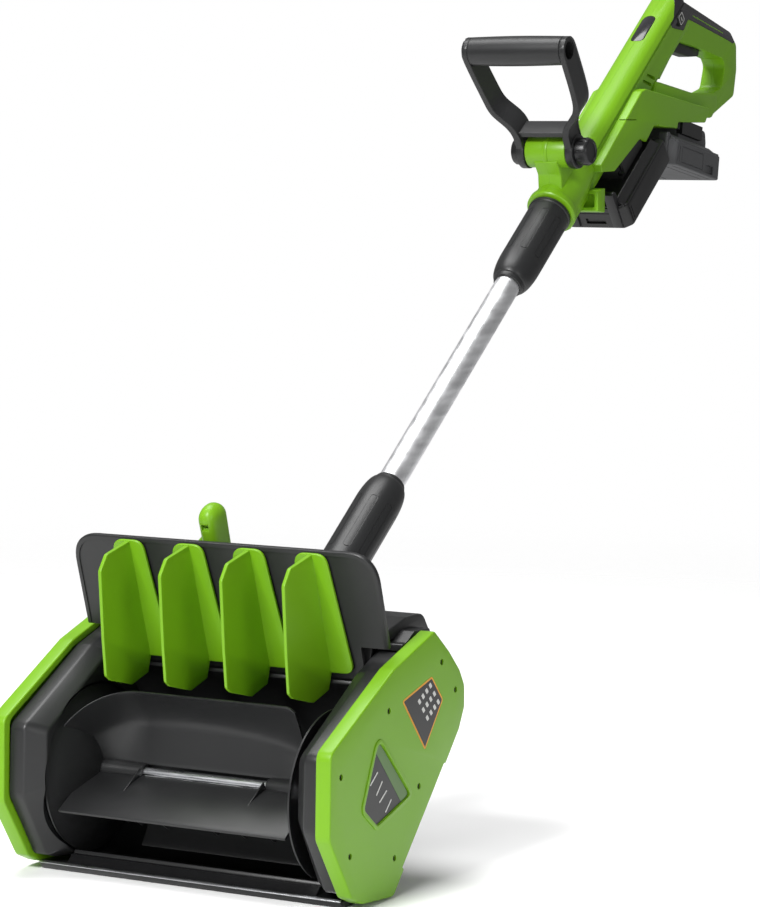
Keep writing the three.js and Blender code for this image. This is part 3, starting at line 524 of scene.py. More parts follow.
def cover_labels(side, sign, badge, kite):
    """Generic plates: a kite with pictogram dots and a two-colour badge, both without lettering."""
    border = plate_x("caution_border_" + side, inset(kite, 0.3), FACE - 0.24, FACE + 0.06, sign)
    finish(border, YELLOW, "frame")
    plate = plate_x("caution_plate_" + side, inset(kite, 1.9), FACE - 0.2, FACE + 0.16, sign)
    finish(plate, DARK, "frame")
    # Pictogram marks: rounded squares in rows that follow the kite's long edges.
    origin = Vector((116, 162))
    half = 2.5
    across = Vector((0.64, -0.75))
    down = Vector((-0.62, -0.36))
    marks = []
    for row in range(4):
        for column in range(3):
            centre = origin + down * (row * 10.0) + across * ((column - 0.75) * 10.5)
            if not inside(centre, inset(kite, 5.5)):
                continue
            corners = []
            for u, v in ((-1, -1), (1, -1), (1, 1), (-1, 1)):
                corners.append((*(centre + across * (half * u) + down * (half * v)), 0.8))
            marks.append(plate_x("mark", rounded(corners, 3), FACE + 0.1, FACE + 0.24, sign))
    merge("caution_marks_" + side, marks, WHITE)

    field = inset(badge, 4.5)
    plate = plate_x("badge_plate_" + side, field, FACE - 1.0, FACE - 0.7, sign)
    finish(plate, DARK, "frame")
    band_cut = plate_x("band", [(13, 160), (100, 160), (100, 55), (73, 66), (16, 132)], 0, 400, 1)
    if sign < 0:
        band_cut.scale.x = -1
        bpy.context.view_layer.update()
    band = plate_x("badge_band_" + side, inset(badge, 4.7), FACE - 0.75, FACE - 0.55, sign)
    boolean(band, [band_cut], "INTERSECT")
    finish(band, BADGE_GREEN, "frame")
    lines = []
    across = Vector((0.45, -0.5))
    for i in range(5):
        start = Vector((17 + i * 7.4, 118 - i * 8.8))
        end = start + Vector((-9.5 - (i % 2) * 2.5, -8 - (i % 3)))
        corners = [start - across, start + across, end + across, end - across]
        if all(inside(c, inset(badge, 6.5)) for c in corners):
            lines.append(plate_x("line", corners, FACE - 0.72, FACE - 0.5, sign))
    merge("badge_lines_" + side, lines, WHITE)


def inside(point, outline):
    """True if a 2-D point is inside a closed outline."""
    hit = False
    count = len(outline)
    for i in range(count):
        a, b = outline[i], outline[(i + 1) % count]
        if (a.y > point.y) != (b.y > point.y):
            if point.x < (b.x - a.x) * (point.y - a.y) / (b.y - a.y) + a.x:
                hit = not hit
    return hit


def merge(name, objects, material, body="frame"):
    """Several small objects as one piece."""
    bm = bmesh.new()
    for obj in objects:
        bm.from_mesh(obj.data)
        bpy.data.objects.remove(obj)
    mesh = bpy.data.meshes.new(name)
    bm.to_mesh(mesh)
    bm.free()
    return finish(place(name, mesh), material, body)


# ---------------- head: walls, scroll and scraper
WALL_BACK = [(48, 5.2, 6), (156, 124, 10), (164.5, 141, 8), (164.5, 158, 10), (157, 170, 10),
    (140, 187, 14), (117, 205.5, 12)]
WALL_OUTLINE = [(-43, 131, 12), (-46, 70, 12), (-12, 14, 8), (3, 9.6, 6)] + WALL_BACK + [(56, 186, 8)]
WALL_INNER = [(-29, 125, 12), (-31, 76, 12), (0, 19, 8), (12, 14, 6)] + WALL_BACK + [(62, 181, 8)]
INNER = 124  # inside faces of the side walls
BETWEEN = INNER - 0.3  # half the width of what stands between the walls
WELL_RADIUS, WELL_DEPTH = 75, 8  # the round well that the left end disc turns in


def side_wall(side, sign):
    outer = rounded(WALL_OUTLINE, 6)
    inner = rounded(WALL_INNER, 6)
    stations = [(INNER, inner), (INNER + 14, outer), (JOINT_X - 0.3, outer)]
    rings = [[(sign * x, p.x, p.y) for p in ring] for x, ring in stations]
    wall = skin("wall_" + side, rings)
    soften(wall, 1.6, 3, 24)
    # Behind the wall's sloping edge a shallow cup closes the end of the scroll.
    cup_end = sign * (INNER + (WELL_DEPTH + 2.5 if sign < 0 else 3.5))
    cup = bar("cup", WELL_RADIUS + 5, sign * INNER, cup_end, centre=ROTOR_YZ, sides=96)
    cut(cup, block("front", -200, 200, -60, 49, -20, 200))
    join(wall, cup)
    holes = [bar("bearing_seat", 13.3, -200, 200, centre=ROTOR_YZ, sides=40)]
    if sign < 0:
        holes.append(bar("well", WELL_RADIUS, -INNER - WELL_DEPTH, -50, centre=ROTOR_YZ, sides=96))
    cut(wall, *holes)
    stands_for(wall, "side_wall_" + side, BLACK, 30)


SCROLL_LOW, SCROLL_HIGH = -118, 69  # degrees about the rotor, from straight back upwards
SKIN = 3.5


def scroll_radius(t):
    return 74 + 19 * max(0.0, (t - 0.25) / 0.75) ** 2.2


def scroll_housing():
    inner, outer = [], []
    steps = 48
    for i in range(steps + 1):
        t = i / steps
        angle = math.radians(SCROLL_LOW + (SCROLL_HIGH - SCROLL_LOW) * t)
        ray = Vector((math.cos(angle), math.sin(angle)))
        centre = Vector(ROTOR_YZ)
        inner.append(centre + ray * scroll_radius(t))
        outer.append(centre + ray * (scroll_radius(t) + SKIN))
    shell = prism("scroll", inner[::-1] + outer, -BETWEEN, BETWEEN)
    soften(shell, 0.8, 2, 50)
    stands_for(shell, "scroll_housing", BLACK, 25)


def scraper():
    """A black sole with a thin bright wear strip along its front edge."""
    sole_outline = [(47.5, 0), (47.5, 3.9), (8, 6.6), (-5.4, 7.2), (-7.4, 5.8), (-3, 0)]
    sole = prism("scraper_sole", sole_outline, -HALF_BLADE, HALF_BLADE)
    ridge = prism("ridge", [(-4, 5.5), (34, 4), (34, 14), (4, 13.4)], -BETWEEN, BETWEEN)
    join(sole, ridge)
    cut(sole, bar("trough", 77.8, -INNER, INNER, centre=ROTOR_YZ, sides=96))
    soften(sole, 0.5, 2, 30)
    finish(sole, DARK, "frame")
    strip_outline = [(-4.6, 6.5), (-4.6, 7.4), (-6.1, 7.4), (-8, 6.1), (-7.2, 5.2)]
    strip = prism("scraper_strip", strip_outline, -HALF_BLADE, HALF_BLADE)
    soften(strip, 0.25, 2, 30)
    finish(strip, STEEL, "frame")
    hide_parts("scraper_blade")
    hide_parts("scraper_blade")


# ---------------- head: rotor
BARE_SHAFT = (-73, 51)  # the shaft shows between the two hub sleeves
ROTOR_EDGES = (-128, 114.5)  # outer faces of the end discs
DISC_RADIUS = 72
SHAFT_RADIUS = 5


def about_rotor(degrees):
    """Local frame of a paddle: y out from the shaft, z ahead of it."""
    return Matrix.Translation(ROTOR_AT) @ tilt_x(degrees)


def flat_paddle(name, degrees, low, high, reach, bow):
    """A thin blade that bows a little ahead of or behind its straight line."""
    front, back = [], []
    for i in range(13):
        t = i / 12
        r = 7 + t * (reach - 7)
        rise = bow * math.sin(math.pi * t)
        front.append(Vector((r, rise)))
        back.append(Vector((r, rise - 2.4)))
    blade = prism(name, front + back[::-1], low, high, matrix=about_rotor(degrees))
    return soften(blade, 0.6, 2, 50)


BOWL_WRAP = 42  # degrees that the scoop's left end is turned forward


def scoop_paddle(name, degrees, low, high, reach):
    """The upright scoop: its lower part leans back to an arched crease, its upper part curls forward."""
    across, along = 60, 18
    thick = 2.6
    middle, half = (low + high) / 2, (high - low) / 2

    def point(i, j, offset):
        u = -1 + 2 * i / across
        t = j / along
        corner = max(0.0, u - 0.93) / 0.07
        top = reach - 5 * corner**2
        r = 7 + t * (top - 7)
        arch = 1 - ((u + 0.1) / 1.1) ** 2
        crease = 22 + 20 * math.sqrt(max(0.0, arch))
        lean = 11 * min(1.0, r / crease)
        curl = 0.0 if r < crease else 15 * ((r - crease) / (reach - crease)) ** 1.6
        # Its left end wraps forward round the axis until it meets the end disc.
        wrap = math.radians(BOWL_WRAP) * max(0.0, (-0.55 - u) / 0.45) ** 2
        z = -lean + curl + offset
        c, s = math.cos(wrap), math.sin(wrap)
        return Vector((middle + u * half, r * c - z * s, r * s + z * c))

    bm = bmesh.new()

    def sheet(offset):
        return [[bm.verts.new(point(i, j, offset)) for j in range(along + 1)] for i in range(across + 1)]

    front, back = sheet(0), sheet(-thick)
    for i in range(across):
        for j in range(along):
            bm.faces.new((front[i][j], front[i + 1][j], front[i + 1][j + 1], front[i][j + 1]))
            bm.faces.new((back[i][j], back[i][j + 1], back[i + 1][j + 1], back[i + 1][j]))
    edge = [(i, 0) for i in range(across)] + [(across, j) for j in range(along)]
    edge += [(i, along) for i in range(across, 0, -1)] + [(0, j) for j in range(along, 0, -1)]
    for k, (i, j) in enumerate(edge):
        ni, nj = edge[(k + 1) % len(edge)]
        bm.faces.new((front[i][j], back[i][j], back[ni][nj], front[ni][nj]))
    blade = link(name, bm, about_rotor(degrees))
    return soften(blade, 0.6, 2, 60)


def rib(name, degrees, corners, x, thick=1.6):
    made = prism(name, corners, x - thick / 2, x + thick / 2, matrix=about_rotor(degrees))
    soften(made, 0.3, 2, 50)
    return finish(made, BLACK, "rotor", 30)


def end_disc(name, edge):
    """A thin dished disc: its rim is outermost and its middle is drawn in towards the paddles."""
    sign = math.copysign(1, edge)
    profile = [(0, 14), (20, 14), (34, 12), (DISC_RADIUS - 10, 5), (DISC_RADIUS - 3, 2),
        (DISC_RADIUS, 1.6), (DISC_RADIUS, 0), (DISC_RADIUS - 3, 0), (DISC_RADIUS - 11, 2.6), (33, 9.5),
        (20, 11), (0, 11)]
    profile = [(r, edge - sign * inward) for r, inward in profile]
    disc = turned(name, profile, "X", 96, Matrix.Translation(ROTOR_AT))
    cut(disc, bar("bore", SHAFT_RADIUS + 0.3, -200, 200, centre=ROTOR_YZ))
    return finish(disc, BLACK, "rotor", 30)


def hub_sleeve(name, inner, outer):
    """A black sleeve round the shaft, a little thicker towards the end disc."""
    step = math.copysign(1, outer - inner)
    profile = [(0, inner), (6.8, inner), (7.6, inner + step), (9.4, outer), (0, outer)]
    sleeve = turned(name, profile, "X", 40, Matrix.Translation(ROTOR_AT))
    return finish(sleeve, BLACK, "rotor", 30)


def rotor():
    left, right = ROTOR_EDGES
    up, forward, under, back = 97, 204, 249, 324
    pieces = [scoop_paddle("rotor_scoop", up, left + 10, 82, 73),
        flat_paddle("rotor_paddle_forward", forward, left + 8, right - 9, 69, -3),
        flat_paddle("rotor_paddle_under", under, -62, right - 9, 62, 4),
        flat_paddle("rotor_paddle_back", back, left + 10, right - 10, 69, 4)]
    for piece in pieces:
        finish(piece, BLACK, "rotor", 35)
        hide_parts("rotor_paddles")
    for side, edge, bare in zip(("left", "right"), ROTOR_EDGES, BARE_SHAFT):
        end_disc("rotor_disc_" + side, edge)
        hub_sleeve("rotor_sleeve_" + side, bare, edge - math.copysign(12, edge))
        # A thin gusset stands on the forward paddle where the sleeve ends.
        rib("rotor_gusset_" + side, forward, [(6, -9), (38, -5), (38, 0), (6, 0)], bare, 1.4)
    for i, x in enumerate((-60, -34, 16, 44, 72)):
        rib(f"rotor_rib_{i + 1}", forward, [(16, -2), (58, -2.5), (40, 26), (34, 26)], x, 2.0)
        rib(f"rotor_back_rib_{i + 1}", back, [(10, 0.5), (52, -0.5), (20, -16)], x)
    shaft = bar("rotor_shaft_bright", SHAFT_RADIUS, -164, 137, centre=ROTOR_YZ, sides=48)
    stands_for(shaft, "rotor_shaft", STEEL, 30)


for side_name, side_sign in (("right", 1), ("left", -1)):
    side_cover(side_name, side_sign)
    side_wall(side_name, side_sign)
scroll_housing()
scraper()
rotor()


# ---------------- deflector: panel, vanes and lever
VANE_PIVOT = 34  # how far up the panel the vanes turn
VANE_PITCH = 60.5
VANE_X = [(i - 1.5) * VANE_PITCH for i in range(4)]
LEVER_X = 7


def deflector_frame():
    """Local x runs across the panel, y up its face, z out of its front."""
    out = Vector(JOINTS["steer"]["axis"]).normalized()
    across = Vector((1, 0, 0))
    up = out.cross(across)
    pivot = Vector(JOINTS["steer"]["pos_m"])
    origin = Vector((0, pivot.y, pivot.z)) - up * mm(VANE_PIVOT)
    return Matrix.Translation(origin) @ Matrix((across, up, out)).transposed().to_4x4()


DEFLECTOR = deflector_frame()


def deflector_panel():
    narrow, wide, top, step = BETWEEN, 151, 110.5, 25
    sheet = prism("panel", rounded([(-narrow, -5), (narrow, -5), (narrow, step), (wide, step),
        (wide, top, 27), (-wide, top, 27), (-wide, step), (-narrow, step)], 12), -5, 0, "Z", DEFLECTOR)
    soften(sheet, 1.3, 3, 40)
    # The face is let in a little, which leaves a narrow raised rim round the top and sides.
    face = rounded([(-wide + 4, -20), (wide - 4, -20), (wide - 4, top - 4, 24), (-wide + 4, top - 4, 24)], 12)
    floor = prism("floor_of_panel", face, -0.9, 10, "Z", DEFLECTOR)
    cut(sheet, floor)
    holes = [bar("pin_hole", 5.3, -20, 20, "Z", (x, VANE_PIVOT), 32, DEFLECTOR) for x in VANE_X]
    cut(sheet, *holes)
    stands_for(sheet, "deflector_panel", BLACK, 30)


def vane(number, x):
    at = DEFLECTOR @ Matrix.Translation((mm(x), 0, 0))
    plate_outline = rounded([(-25, 1, 9), (25, 1, 9), (15, 109, 11), (-15, 109, 11)], 8)
    plate = prism(f"vane_{number}_made", plate_outline, 0.4, 3.4, "Z", at)
    soften(plate, 0.8, 3, 40)
    outline = rounded([(1, 1), (-12, 10, 2), (-12, 35, 5), (5, 63, 6), (11, 68, 5), (43, 62, 12),
        (100, 49, 6), (110, 36, 5), (108, 1)], 6)
    # The fin has draft: it is thickest where it meets the plate.
    rings = []
    for side in (-1, 1):
        rings.append([(side * (2.3 - 0.9 * p.y / 68), p.x, p.y) for p in outline])
    fin = skin("fin", rings, at)
    soften(fin, 0.7, 3, 50)
    root = prism("root", [(-4.2, 1), (4.2, 1), (1.6, 5.4), (-1.6, 5.4)], 4, 104, "Y", at)
    pin = bar("pin", 5, -9.5, 1, "Z", (0, VANE_PIVOT), 40, at)
    join(plate, fin, root, pin)
    stands_for(plate, f"vane_{number}", GREEN, 30)


def superellipse(half_u, half_v, power=2.6, sides=36):
    """A rounded rectangle without straight sides, as (u, v) points."""
    points = []
    for k in range(sides):
        angle = 2 * math.pi * k / sides
        c, s = math.cos(angle), math.sin(angle)
        u = half_u * math.copysign(abs(c) ** (2 / power), c)
        v = half_v * math.copysign(abs(s) ** (2 / power), s)
        points.append((u, v))
    return points


def steering_lever():
    """A domed thumb lever that stands behind the panel, on a stem from the second vane."""
    at = DEFLECTOR @ Matrix.Translation((mm(VANE_X[1]), mm(VANE_PIVOT), 0))
    back, top, dome = -31.5, 98.5, 12.5
    stations = [(34, 6.5, 8, 4), (40, 8.4, 13, 0.5), (60, 8.9, 14, 0), (78, 9.2, 14.2, 0)]
    stations.append((86, 9.4, 14.2, 0))
    for k in range(1, 8):
        c, s = math.cos(math.pi / 2 * k / 7.4), math.sin(math.pi / 2 * k / 7.4)
        stations.append((top - dome + dome * s, 9.4 * c, 14.2 * c, 0))
    rings = []
    for along, half_x, half_z, shift in stations:
        ring = superellipse(half_x, half_z)
        rings.append([(LEVER_X + u, along, back + v - shift) for u, v in ring])
    head = skin("lever", rings, at)
    # The flared foot to the left of the head.
    foot_rings = []
    for along, half_x, half_z in ((50, 12, 9), (57, 12.5, 10), (63, 9, 9.5), (70, 5, 8), (77, 1.5, 6)):
        ring = superellipse(half_x, half_z)
        foot_rings.append([(LEVER_X - 13 + u + (12.5 - half_x) * 0.9, along, back + v) for u, v in ring])
    foot = skin("foot", foot_rings, at)
    stem_outline = [(-5, -16.7), (55, -16.7), (55, -24), (36, -24), (30, -18.8), (-5, -18.8)]
    stem = prism("stem", stem_outline, 1, 13, matrix=at)
    soften(stem, 0.8, 2, 40)
    hub = bar("hub", 6.5, -17.5, -10.1, "Z", (0, 0), 40, at)
    join(head, foot, stem, hub)
    recess = block("recess", LEVER_X - 3.6, LEVER_X + 3.6, 79, 84.5, -20.5, 0, at)
    ramp_cut = block("ramp", LEVER_X - 3.6, LEVER_X + 3.6, 80.5, 84.5, -23, 0, at)
    cut(head, recess, ramp_cut)
    soften(head, 0.5, 2, 50)
    stands_for(head, "steering_lever", GREEN, 40)


deflector_panel()
for vane_number, vane_place in enumerate(VANE_X, 1):
    vane(vane_number, vane_place)
steering_lever()


# ---------------- head: rear housing
def rear_housing():
    """The shell behind the scroll; its hood ends in a rounded roll with a ledge below it."""
    outer = [(84.9, 169), (86.5, 190), (93, 215.4), (122, 222, 10), (151, 222, 13), (163, 205, 8)]
    outer += [(167, 160, 12), (164.5, 132, 8), (130, 92.6)]
    inner = [(126.4, 93.6), (161, 134, 8), (163.5, 159, 10), (159, 205, 6), (149, 218.5, 11)]
    inner += [(122, 218.5, 8), (96, 212.4), (90, 190), (88.2, 169)]
    shell = prism("housing", rounded(outer + inner, 8), -BETWEEN, BETWEEN)
    soften(shell, 0.8, 2, 50)
    crown_outline = [(88, 206), (93, 215.4), (122, 222, 10), (151, 222, 13), (163, 205, 4), (163, 187, 3)]
    crown_outline += [(146, 190), (141, 206)]
    crown = prism("crown", rounded(crown_outline, 8), -138, 138)
    soften(crown, 1.6, 3, 35)
    ledge_outline = [(90, 198.4), (92.5, 204, 3), (98, 204, 6), (113, 212.5, 5), (139, 211.5, 2), (141, 206)]
    ledge_outline += [(126, 200.8), (117, 207.6)]
    ledge = prism("ledge", rounded(ledge_outline, 5), -151, 151)
    soften(ledge, 0.7, 2, 35)
    hollow_outline = [(93, 180), (97, 211.6), (122, 218.5, 8), (149, 218.5, 11), (159, 205, 6), (152, 180)]
    hollow = prism("hollow", rounded(hollow_outline, 6), -133, 133)
    join(crown, ledge)
    cut(crown, hollow)
    join(shell, crown)
    socket_gap = bar("socket_gap", 25.6, -300, -160, "Y", sides=64, matrix=POLE)
    vents = []
    for row in range(4):
        z = 108 + row * 9
        for low, high in ((-78, -32), (32, 78)):
            vents.append(block("vent", low, high, 138, 190, z, z + 3.4))
    cut(shell, socket_gap, *vents)
    stands_for(shell, "rear_housing", BLACK, 30)


rear_housing()


# ---------------- pole: socket, tube and collars
TUBE_RADIUS = 12.5
COLLAR_RADIUS = 21


def tube_socket():
    body = turned("socket", [(12.9, -236), (12.9, -167), (17, -167), (19, -169), (19, -188), (21, -191),
        (24, -192.5), (25.2, -195), (25.2, -262), (0, -262), (0, -236)], "Y", 64, POLE)
    stands_for(body, "tube_socket", BLACK, 30)


def tube():
    """A drawn tube with one shallow groove down its left side."""
    section = circle(TUBE_RADIUS, sides=72)
    groove_at = math.radians(158)
    points = []
    for p in section:
        angle = math.atan2(p.y, p.x)
        depth = 0.55 * math.exp(-(((angle - groove_at) / 0.09) ** 2))
        points.append(p * (1 - depth / TUBE_RADIUS))
    body = prism("tube_made", points, -230, 404, "Y", POLE)
    cut(body, bar("bore", 10.9, -400, 500, "Y", sides=64, matrix=POLE))
    stands_for(body, "tube", TUBE, 40)


def collar(name, node, open_end, shoulder):
    """A twist collar: a straight skirt with long ovals, then a domed shoulder down to the tube."""
    step = math.copysign(1, shoulder - open_end)
    length = abs(shoulder - open_end)

    def at(distance):
        return open_end + step * distance

    outer = [(COLLAR_RADIUS - 0.2, at(0)), (COLLAR_RADIUS + 0.9, at(0.8)), (COLLAR_RADIUS + 0.9, at(4)),
        (COLLAR_RADIUS, at(5)), (COLLAR_RADIUS, at(length - 34))]
    for k in range(1, 9):
        angle = math.pi / 2 * k / 8
        outer.append((COLLAR_RADIUS - 5.6 * (1 - math.cos(angle)), at(length - 34 + 29 * math.sin(angle))))
    outer += [(15.0, at(length - 2.2)), (14.4, at(length - 0.6)), (13.6, at(length)), (12.9, at(length))]
    inner = [(12.9, at(44)), (19.4, at(40)), (19.4, at(0))]
    body = turned(name, outer + inner + outer[:1], "Y", 96, POLE)
    # Eight long ovals, each outlined by a fine groove.
    grooves = []
    for k in range(8):
        turn = POLE @ Matrix.Rotation(math.radians(22.5 + 45 * k), 4, "Y")
        low, high = sorted((at(16), at(length - 36)))
        oval = rounded([(-3.6, low, 3.5), (3.6, low, 3.5), (3.6, high, 3.5), (-3.6, high, 3.5)], 6)
        ring = prism("oval", oval, COLLAR_RADIUS - 0.45, COLLAR_RADIUS + 3, "Z", turn)
        core = prism("core", inset(oval, 0.7), COLLAR_RADIUS - 2, COLLAR_RADIUS + 4, "Z", turn)
        grooves.append(cut(ring, core))
    cut(body, *grooves)
    stands_for(body, node, BLACK, 30)


def collars():
    collar("lower_collar_made", "lower_collar", -165, -46)
    collar("upper_collar_made", "upper_collar", 351, 238)
    seal = turned("lower_collar_seal", [(19.4, -164.9), (21.6, -164.9), (22.2, -164), (22.2, -162.6),
        (21, -161.8), (19.4, -161.8), (19.4, -164.9)], "Y", 64, POLE)
    finish(seal, GREY, body_of("lower_collar"))


tube_socket()
tube()
collars()


# ---------------- handle body
# The outlines of pieces made by side() are (y, z) in the row's own frame.
SPINE_HALF = 18
BULGE_HALF = 28
GRIP_HALF = 13
CROWN = 24  # how far the spine's top stands above the tube's centre line
SEAM = 0.06  # half the gap between the handle's two halves
FLANGE_RADIUS = 25.4
BOSS_HALF, BOSS_RADIUS = 22, 16


def side(name, corners, half, bevel=0.0, segments=2, steps=6):
    """A block with an outline in the row's Y and Z, the same on both sides of the middle."""
    made = prism(name, rounded(corners, steps), -half, half)
    if bevel:
        soften(made, bevel, segments, 40)
    return made


def to_pole(y, z):
    """Distance along the tube and height above it, in millimetres, of a point in the row's frame."""
    local = POLE.inverted() @ Vector((0, mm(y), mm(z)))
    return local.y / MM, local.z / MM


def spine_section():
    """Half of the spine's section as (x, above): crown, crease, groove, ridge and sunk side."""
    right = [(0, CROWN)]
    for k in range(1, 9):
        angle = math.pi / 2 * k / 9.5
        right.append((16.4 * math.sin(angle), 13.4 + (CROWN - 13.4) * math.cos(angle)))
    right += [(17.8, 12.2), (18, 10.8), (16.6, 9.9), (16.6, 8.7), (18, 7.6), (18, 2.6), (16.4, 1.4)]
    right += [(16.4, -16), (13.5, -23), (9, -25)]
    left = [(-x, n) for x, n in reversed(right) if x > 0]
    return right + left


def spine_ends():
    outline = rounded([(356, -27), (700, -27, 4), (698, 26, 34), (356, 26)], 14)
    return prism("ends", outline, -60, 60, matrix=POLE)


def spine():
    made = prism("spine", spine_section(), 356, 700, "Y", POLE)
    return boolean(made, [spine_ends()], "INTERSECT")


def neck():
    """The flange round the upper collar and the round neck behind it."""
    profile = [(0, 352), (23.2, 352), (24.6, 352.4), (FLANGE_RADIUS, 353.6), (FLANGE_RADIUS, 358.6),
        (24.8, 360.4), (23.2, 361.6), (22.6, 366), (22.4, 396), (19, 424), (0, 424)]
    return turned("neck", profile, "Y", 72, POLE)


def bulge():
    """The raised block over the batteries, with a broad bevel round its face."""
    block_made = side("bulge", [(710, 593), (712, 586, 2), (741.5, 586.6), (799, 618.5),
        (814, 615.5, 2), (833, 632), (889, 629), (891, 635.5), (959, 635), (971, 650, 3),
        (812, 669.5, 4), (802, 667, 5)], BULGE_HALF)
    soften(block_made, 5.5, 1, 30)
    # The seam across the bevel, a little above the middle of the front edge.
    seams = [block("seam", sign * 20, sign * 40, 764, 790, 637.6, 638.4) for sign in (1, -1)]
    cut(block_made, *seams)
    return soften(block_made, 0.7, 2, 20)


def loop():
    """The rear grip's loop with its opening."""
    made = side("loop", [(862, 700), (905, 748), (929, 763, 10), (1054, 732.5, 14), (1070, 719, 8),
        (1071, 692, 10), (1064, 664, 8), (1000, 640, 8), (905, 640)], GRIP_HALF, steps=8)
    cut(made, opening())
    return soften(made, 4.2, 3, 38)


def opening():
    return side("opening", [(872, 676.5, 4), (908, 708, 10), (917, 721, 8), (978, 713.7, 30),
        (1034, 704, 6), (1041, 696, 8), (1032, 672, 8), (1010, 667, 8), (948, 666.4, 10)], 60, steps=8)


def lower_bar():
    bar_made = side("lower_bar", [(850, 650), (858, 678), (873, 676.5), (948, 666.8, 8), (1012, 667, 8),
        (1012, 652, 6), (998, 640, 6), (880, 640)], SPINE_HALF)
    return soften(bar_made, 2.6, 2, 40)


def boss_and_post():
    s, n = to_pole(*PIVOT_YZ)
    boss = bar("boss", BOSS_RADIUS, -BOSS_HALF, BOSS_HALF, "X", (s, n), 64, POLE)
    soften(boss, 0.8, 2, 40)
    ridge = bar("ridge", BOSS_RADIUS + 0.7, -2.6, 2.6, "X", (s, n), 64, POLE)
    soften(ridge, 0.5, 2, 40)
    post_outline = [(360, 12), (372, 32), (372, n), (397, n), (397, 34), (410, 12)]
    post = prism("post", post_outline, -13, 13, matrix=POLE)
    soften(post, 1.6, 3, 30)
    return join(boss, ridge, post)


def stop_bracket():
    """The cross plate in front of the first battery, sunk above its lower flange."""
    plate = side("stop", [(703, 568), (703, 547, 2), (719, 545.5, 2), (719, 570)], BULGE_HALF)
    soften(plate, 1.0, 2, 40)
    pocket = side("pocket", [(690, 564), (690, 551.5), (708.5, 550.5), (708.5, 564)], BULGE_HALF - 4)
    soften(pocket, 1.5, 2, 40)
    rib_made = block("rib", -1.2, 1.2, 703.5, 709, 550, 564)
    cut(plate, pocket)
    return join(plate, rib_made)


SEAT_1 = POLE @ Matrix.Translation((0, mm(427), mm(-79)))
SEAT_2 = Matrix.Translation((0, mm(860), mm(592.5))) @ tilt_x(-9.5)


def battery_space():
    """What the batteries and their rails take out of the handle."""
    return [block("rails_1", -25.5, 25.5, 24, 128, 36, 53.6, SEAT_1),
        block("rails_2", -25.5, 25.5, 34, 128, 36, 53.6, SEAT_2),
        block("pack_1", -39, 39, -3, 128, -4, 36, SEAT_1), block("pack_2", -39, 39, -3, 128, -4, 36,
        SEAT_2)]


def grip_cover_zone(extra):
    return side("zone", [(911.5 - extra, 766), (892 - extra, 734 - extra, 2), (926.5, 731.5 - extra, 3),
        (937, 743 - extra, 4), (948, 743.3 - extra), (975, 738.3 - extra), (1047, 724 - extra),
        (1061 + extra, 720.5 - extra, 3), (1075 + extra, 727), (1060, 750), (930, 780)], 60)


def window_oval(extra, low, high):
    ends = (608 - extra, 652 + extra)
    half = 7 + extra
    corners = [(-half, ends[0], half), (half, ends[0], half), (half, ends[1], half), (-half, ends[1], half)]
    return prism("oval", rounded(corners, 12), low, high, "Z", POLE)


LOCK_AT = to_pole(915, 743.5)
LOCK_HALF = 6.5


def lock_square(name, extra, low, high, radius=2.5):
    s, n = LOCK_AT
    half = LOCK_HALF + extra
    corners = [(s - half, n - half, radius), (s + half, n - half, radius)]
    corners += [(s + half, n + half, radius), (s - half, n + half, radius)]
    return prism(name, rounded(corners, 6), low, high, matrix=POLE)


def side_slots():
    """Two short cooling slots on each side, above the batteries."""
    slots = []
    for start, end in (((838, 684.2), (857, 680.2)), ((829, 677.8), (849, 673.6))):
        a, b = Vector(start), Vector(end)
        across = Vector((b - a).orthogonal()).normalized() * 1.7
        corners = [(*(a - across), 1.6), (*(b - across), 1.6), (*(b + across), 1.6), (*(a + across), 1.6)]
        for sign in (1, -1):
            slots.append(plate_x("slot", rounded(corners, 4), 12.5, 30, sign))
    return slots


def handle():
    body = spine()
    join(body, neck(), loop(), lower_bar(), bulge(), boss_and_post(), stop_bracket())
    cover = duplicate(body, "grip_cover_made")
    trigger_slot = side("trigger_slot", [(907, 733), (908, 712), (930, 700), (994, 700), (994, 733)], 7.2)
    bolt_hole = bar("bolt_hole", 5.3, -60, 60, "X", PIVOT_YZ, 32)
    bore = bar("bore", 12.9, 340, 408, "Y", sides=64, matrix=POLE)
    cut(body, *battery_space(), trigger_slot, bolt_hole, bore, grip_cover_zone(0.3))
    cut(body, window_oval(0.5, 20.5, 60), *side_slots())
    for sign, name in ((1, "handle_half_right"), (-1, "handle_half_left")):
        half = duplicate(body, name + "_made")
        boolean(half, [block("side", sign * SEAM, sign * 90, 500, 1200, 400, 900)], "INTERSECT")
        stands_for(half, name, GREEN, 28)
    bpy.data.objects.remove(body)

    boolean(cover, [grip_cover_zone(0)], "INTERSECT")
    core = side("core", [(926, 722), (926, 752), (1050, 727), (1060, 712), (1040, 705), (985, 712)], 9.6)
    cut(cover, core, lock_square("hole", 0.3, -1, 60))
    stands_for(cover, "grip_cover", GLOSS, 30)
    for sign, name in ((1, "right"), (-1, "left")):
        line = plate_x("grip_line_" + name, [(956, 748.2), (1034, 731.6), (1034, 730.7), (956, 747.2)],
            GRIP_HALF - 0.6, GRIP_HALF + 0.12, sign)
        finish(line, GREEN, "frame")


def status_window():
    glass = window_oval(0, 20.8, 60)
    boolean(glass, [spine()], "INTERSECT")
    glass.name = "status_window_made"
    soften(glass, 0.5, 2, 50)
    stands_for(glass, "status_window", GLOSS, 30)


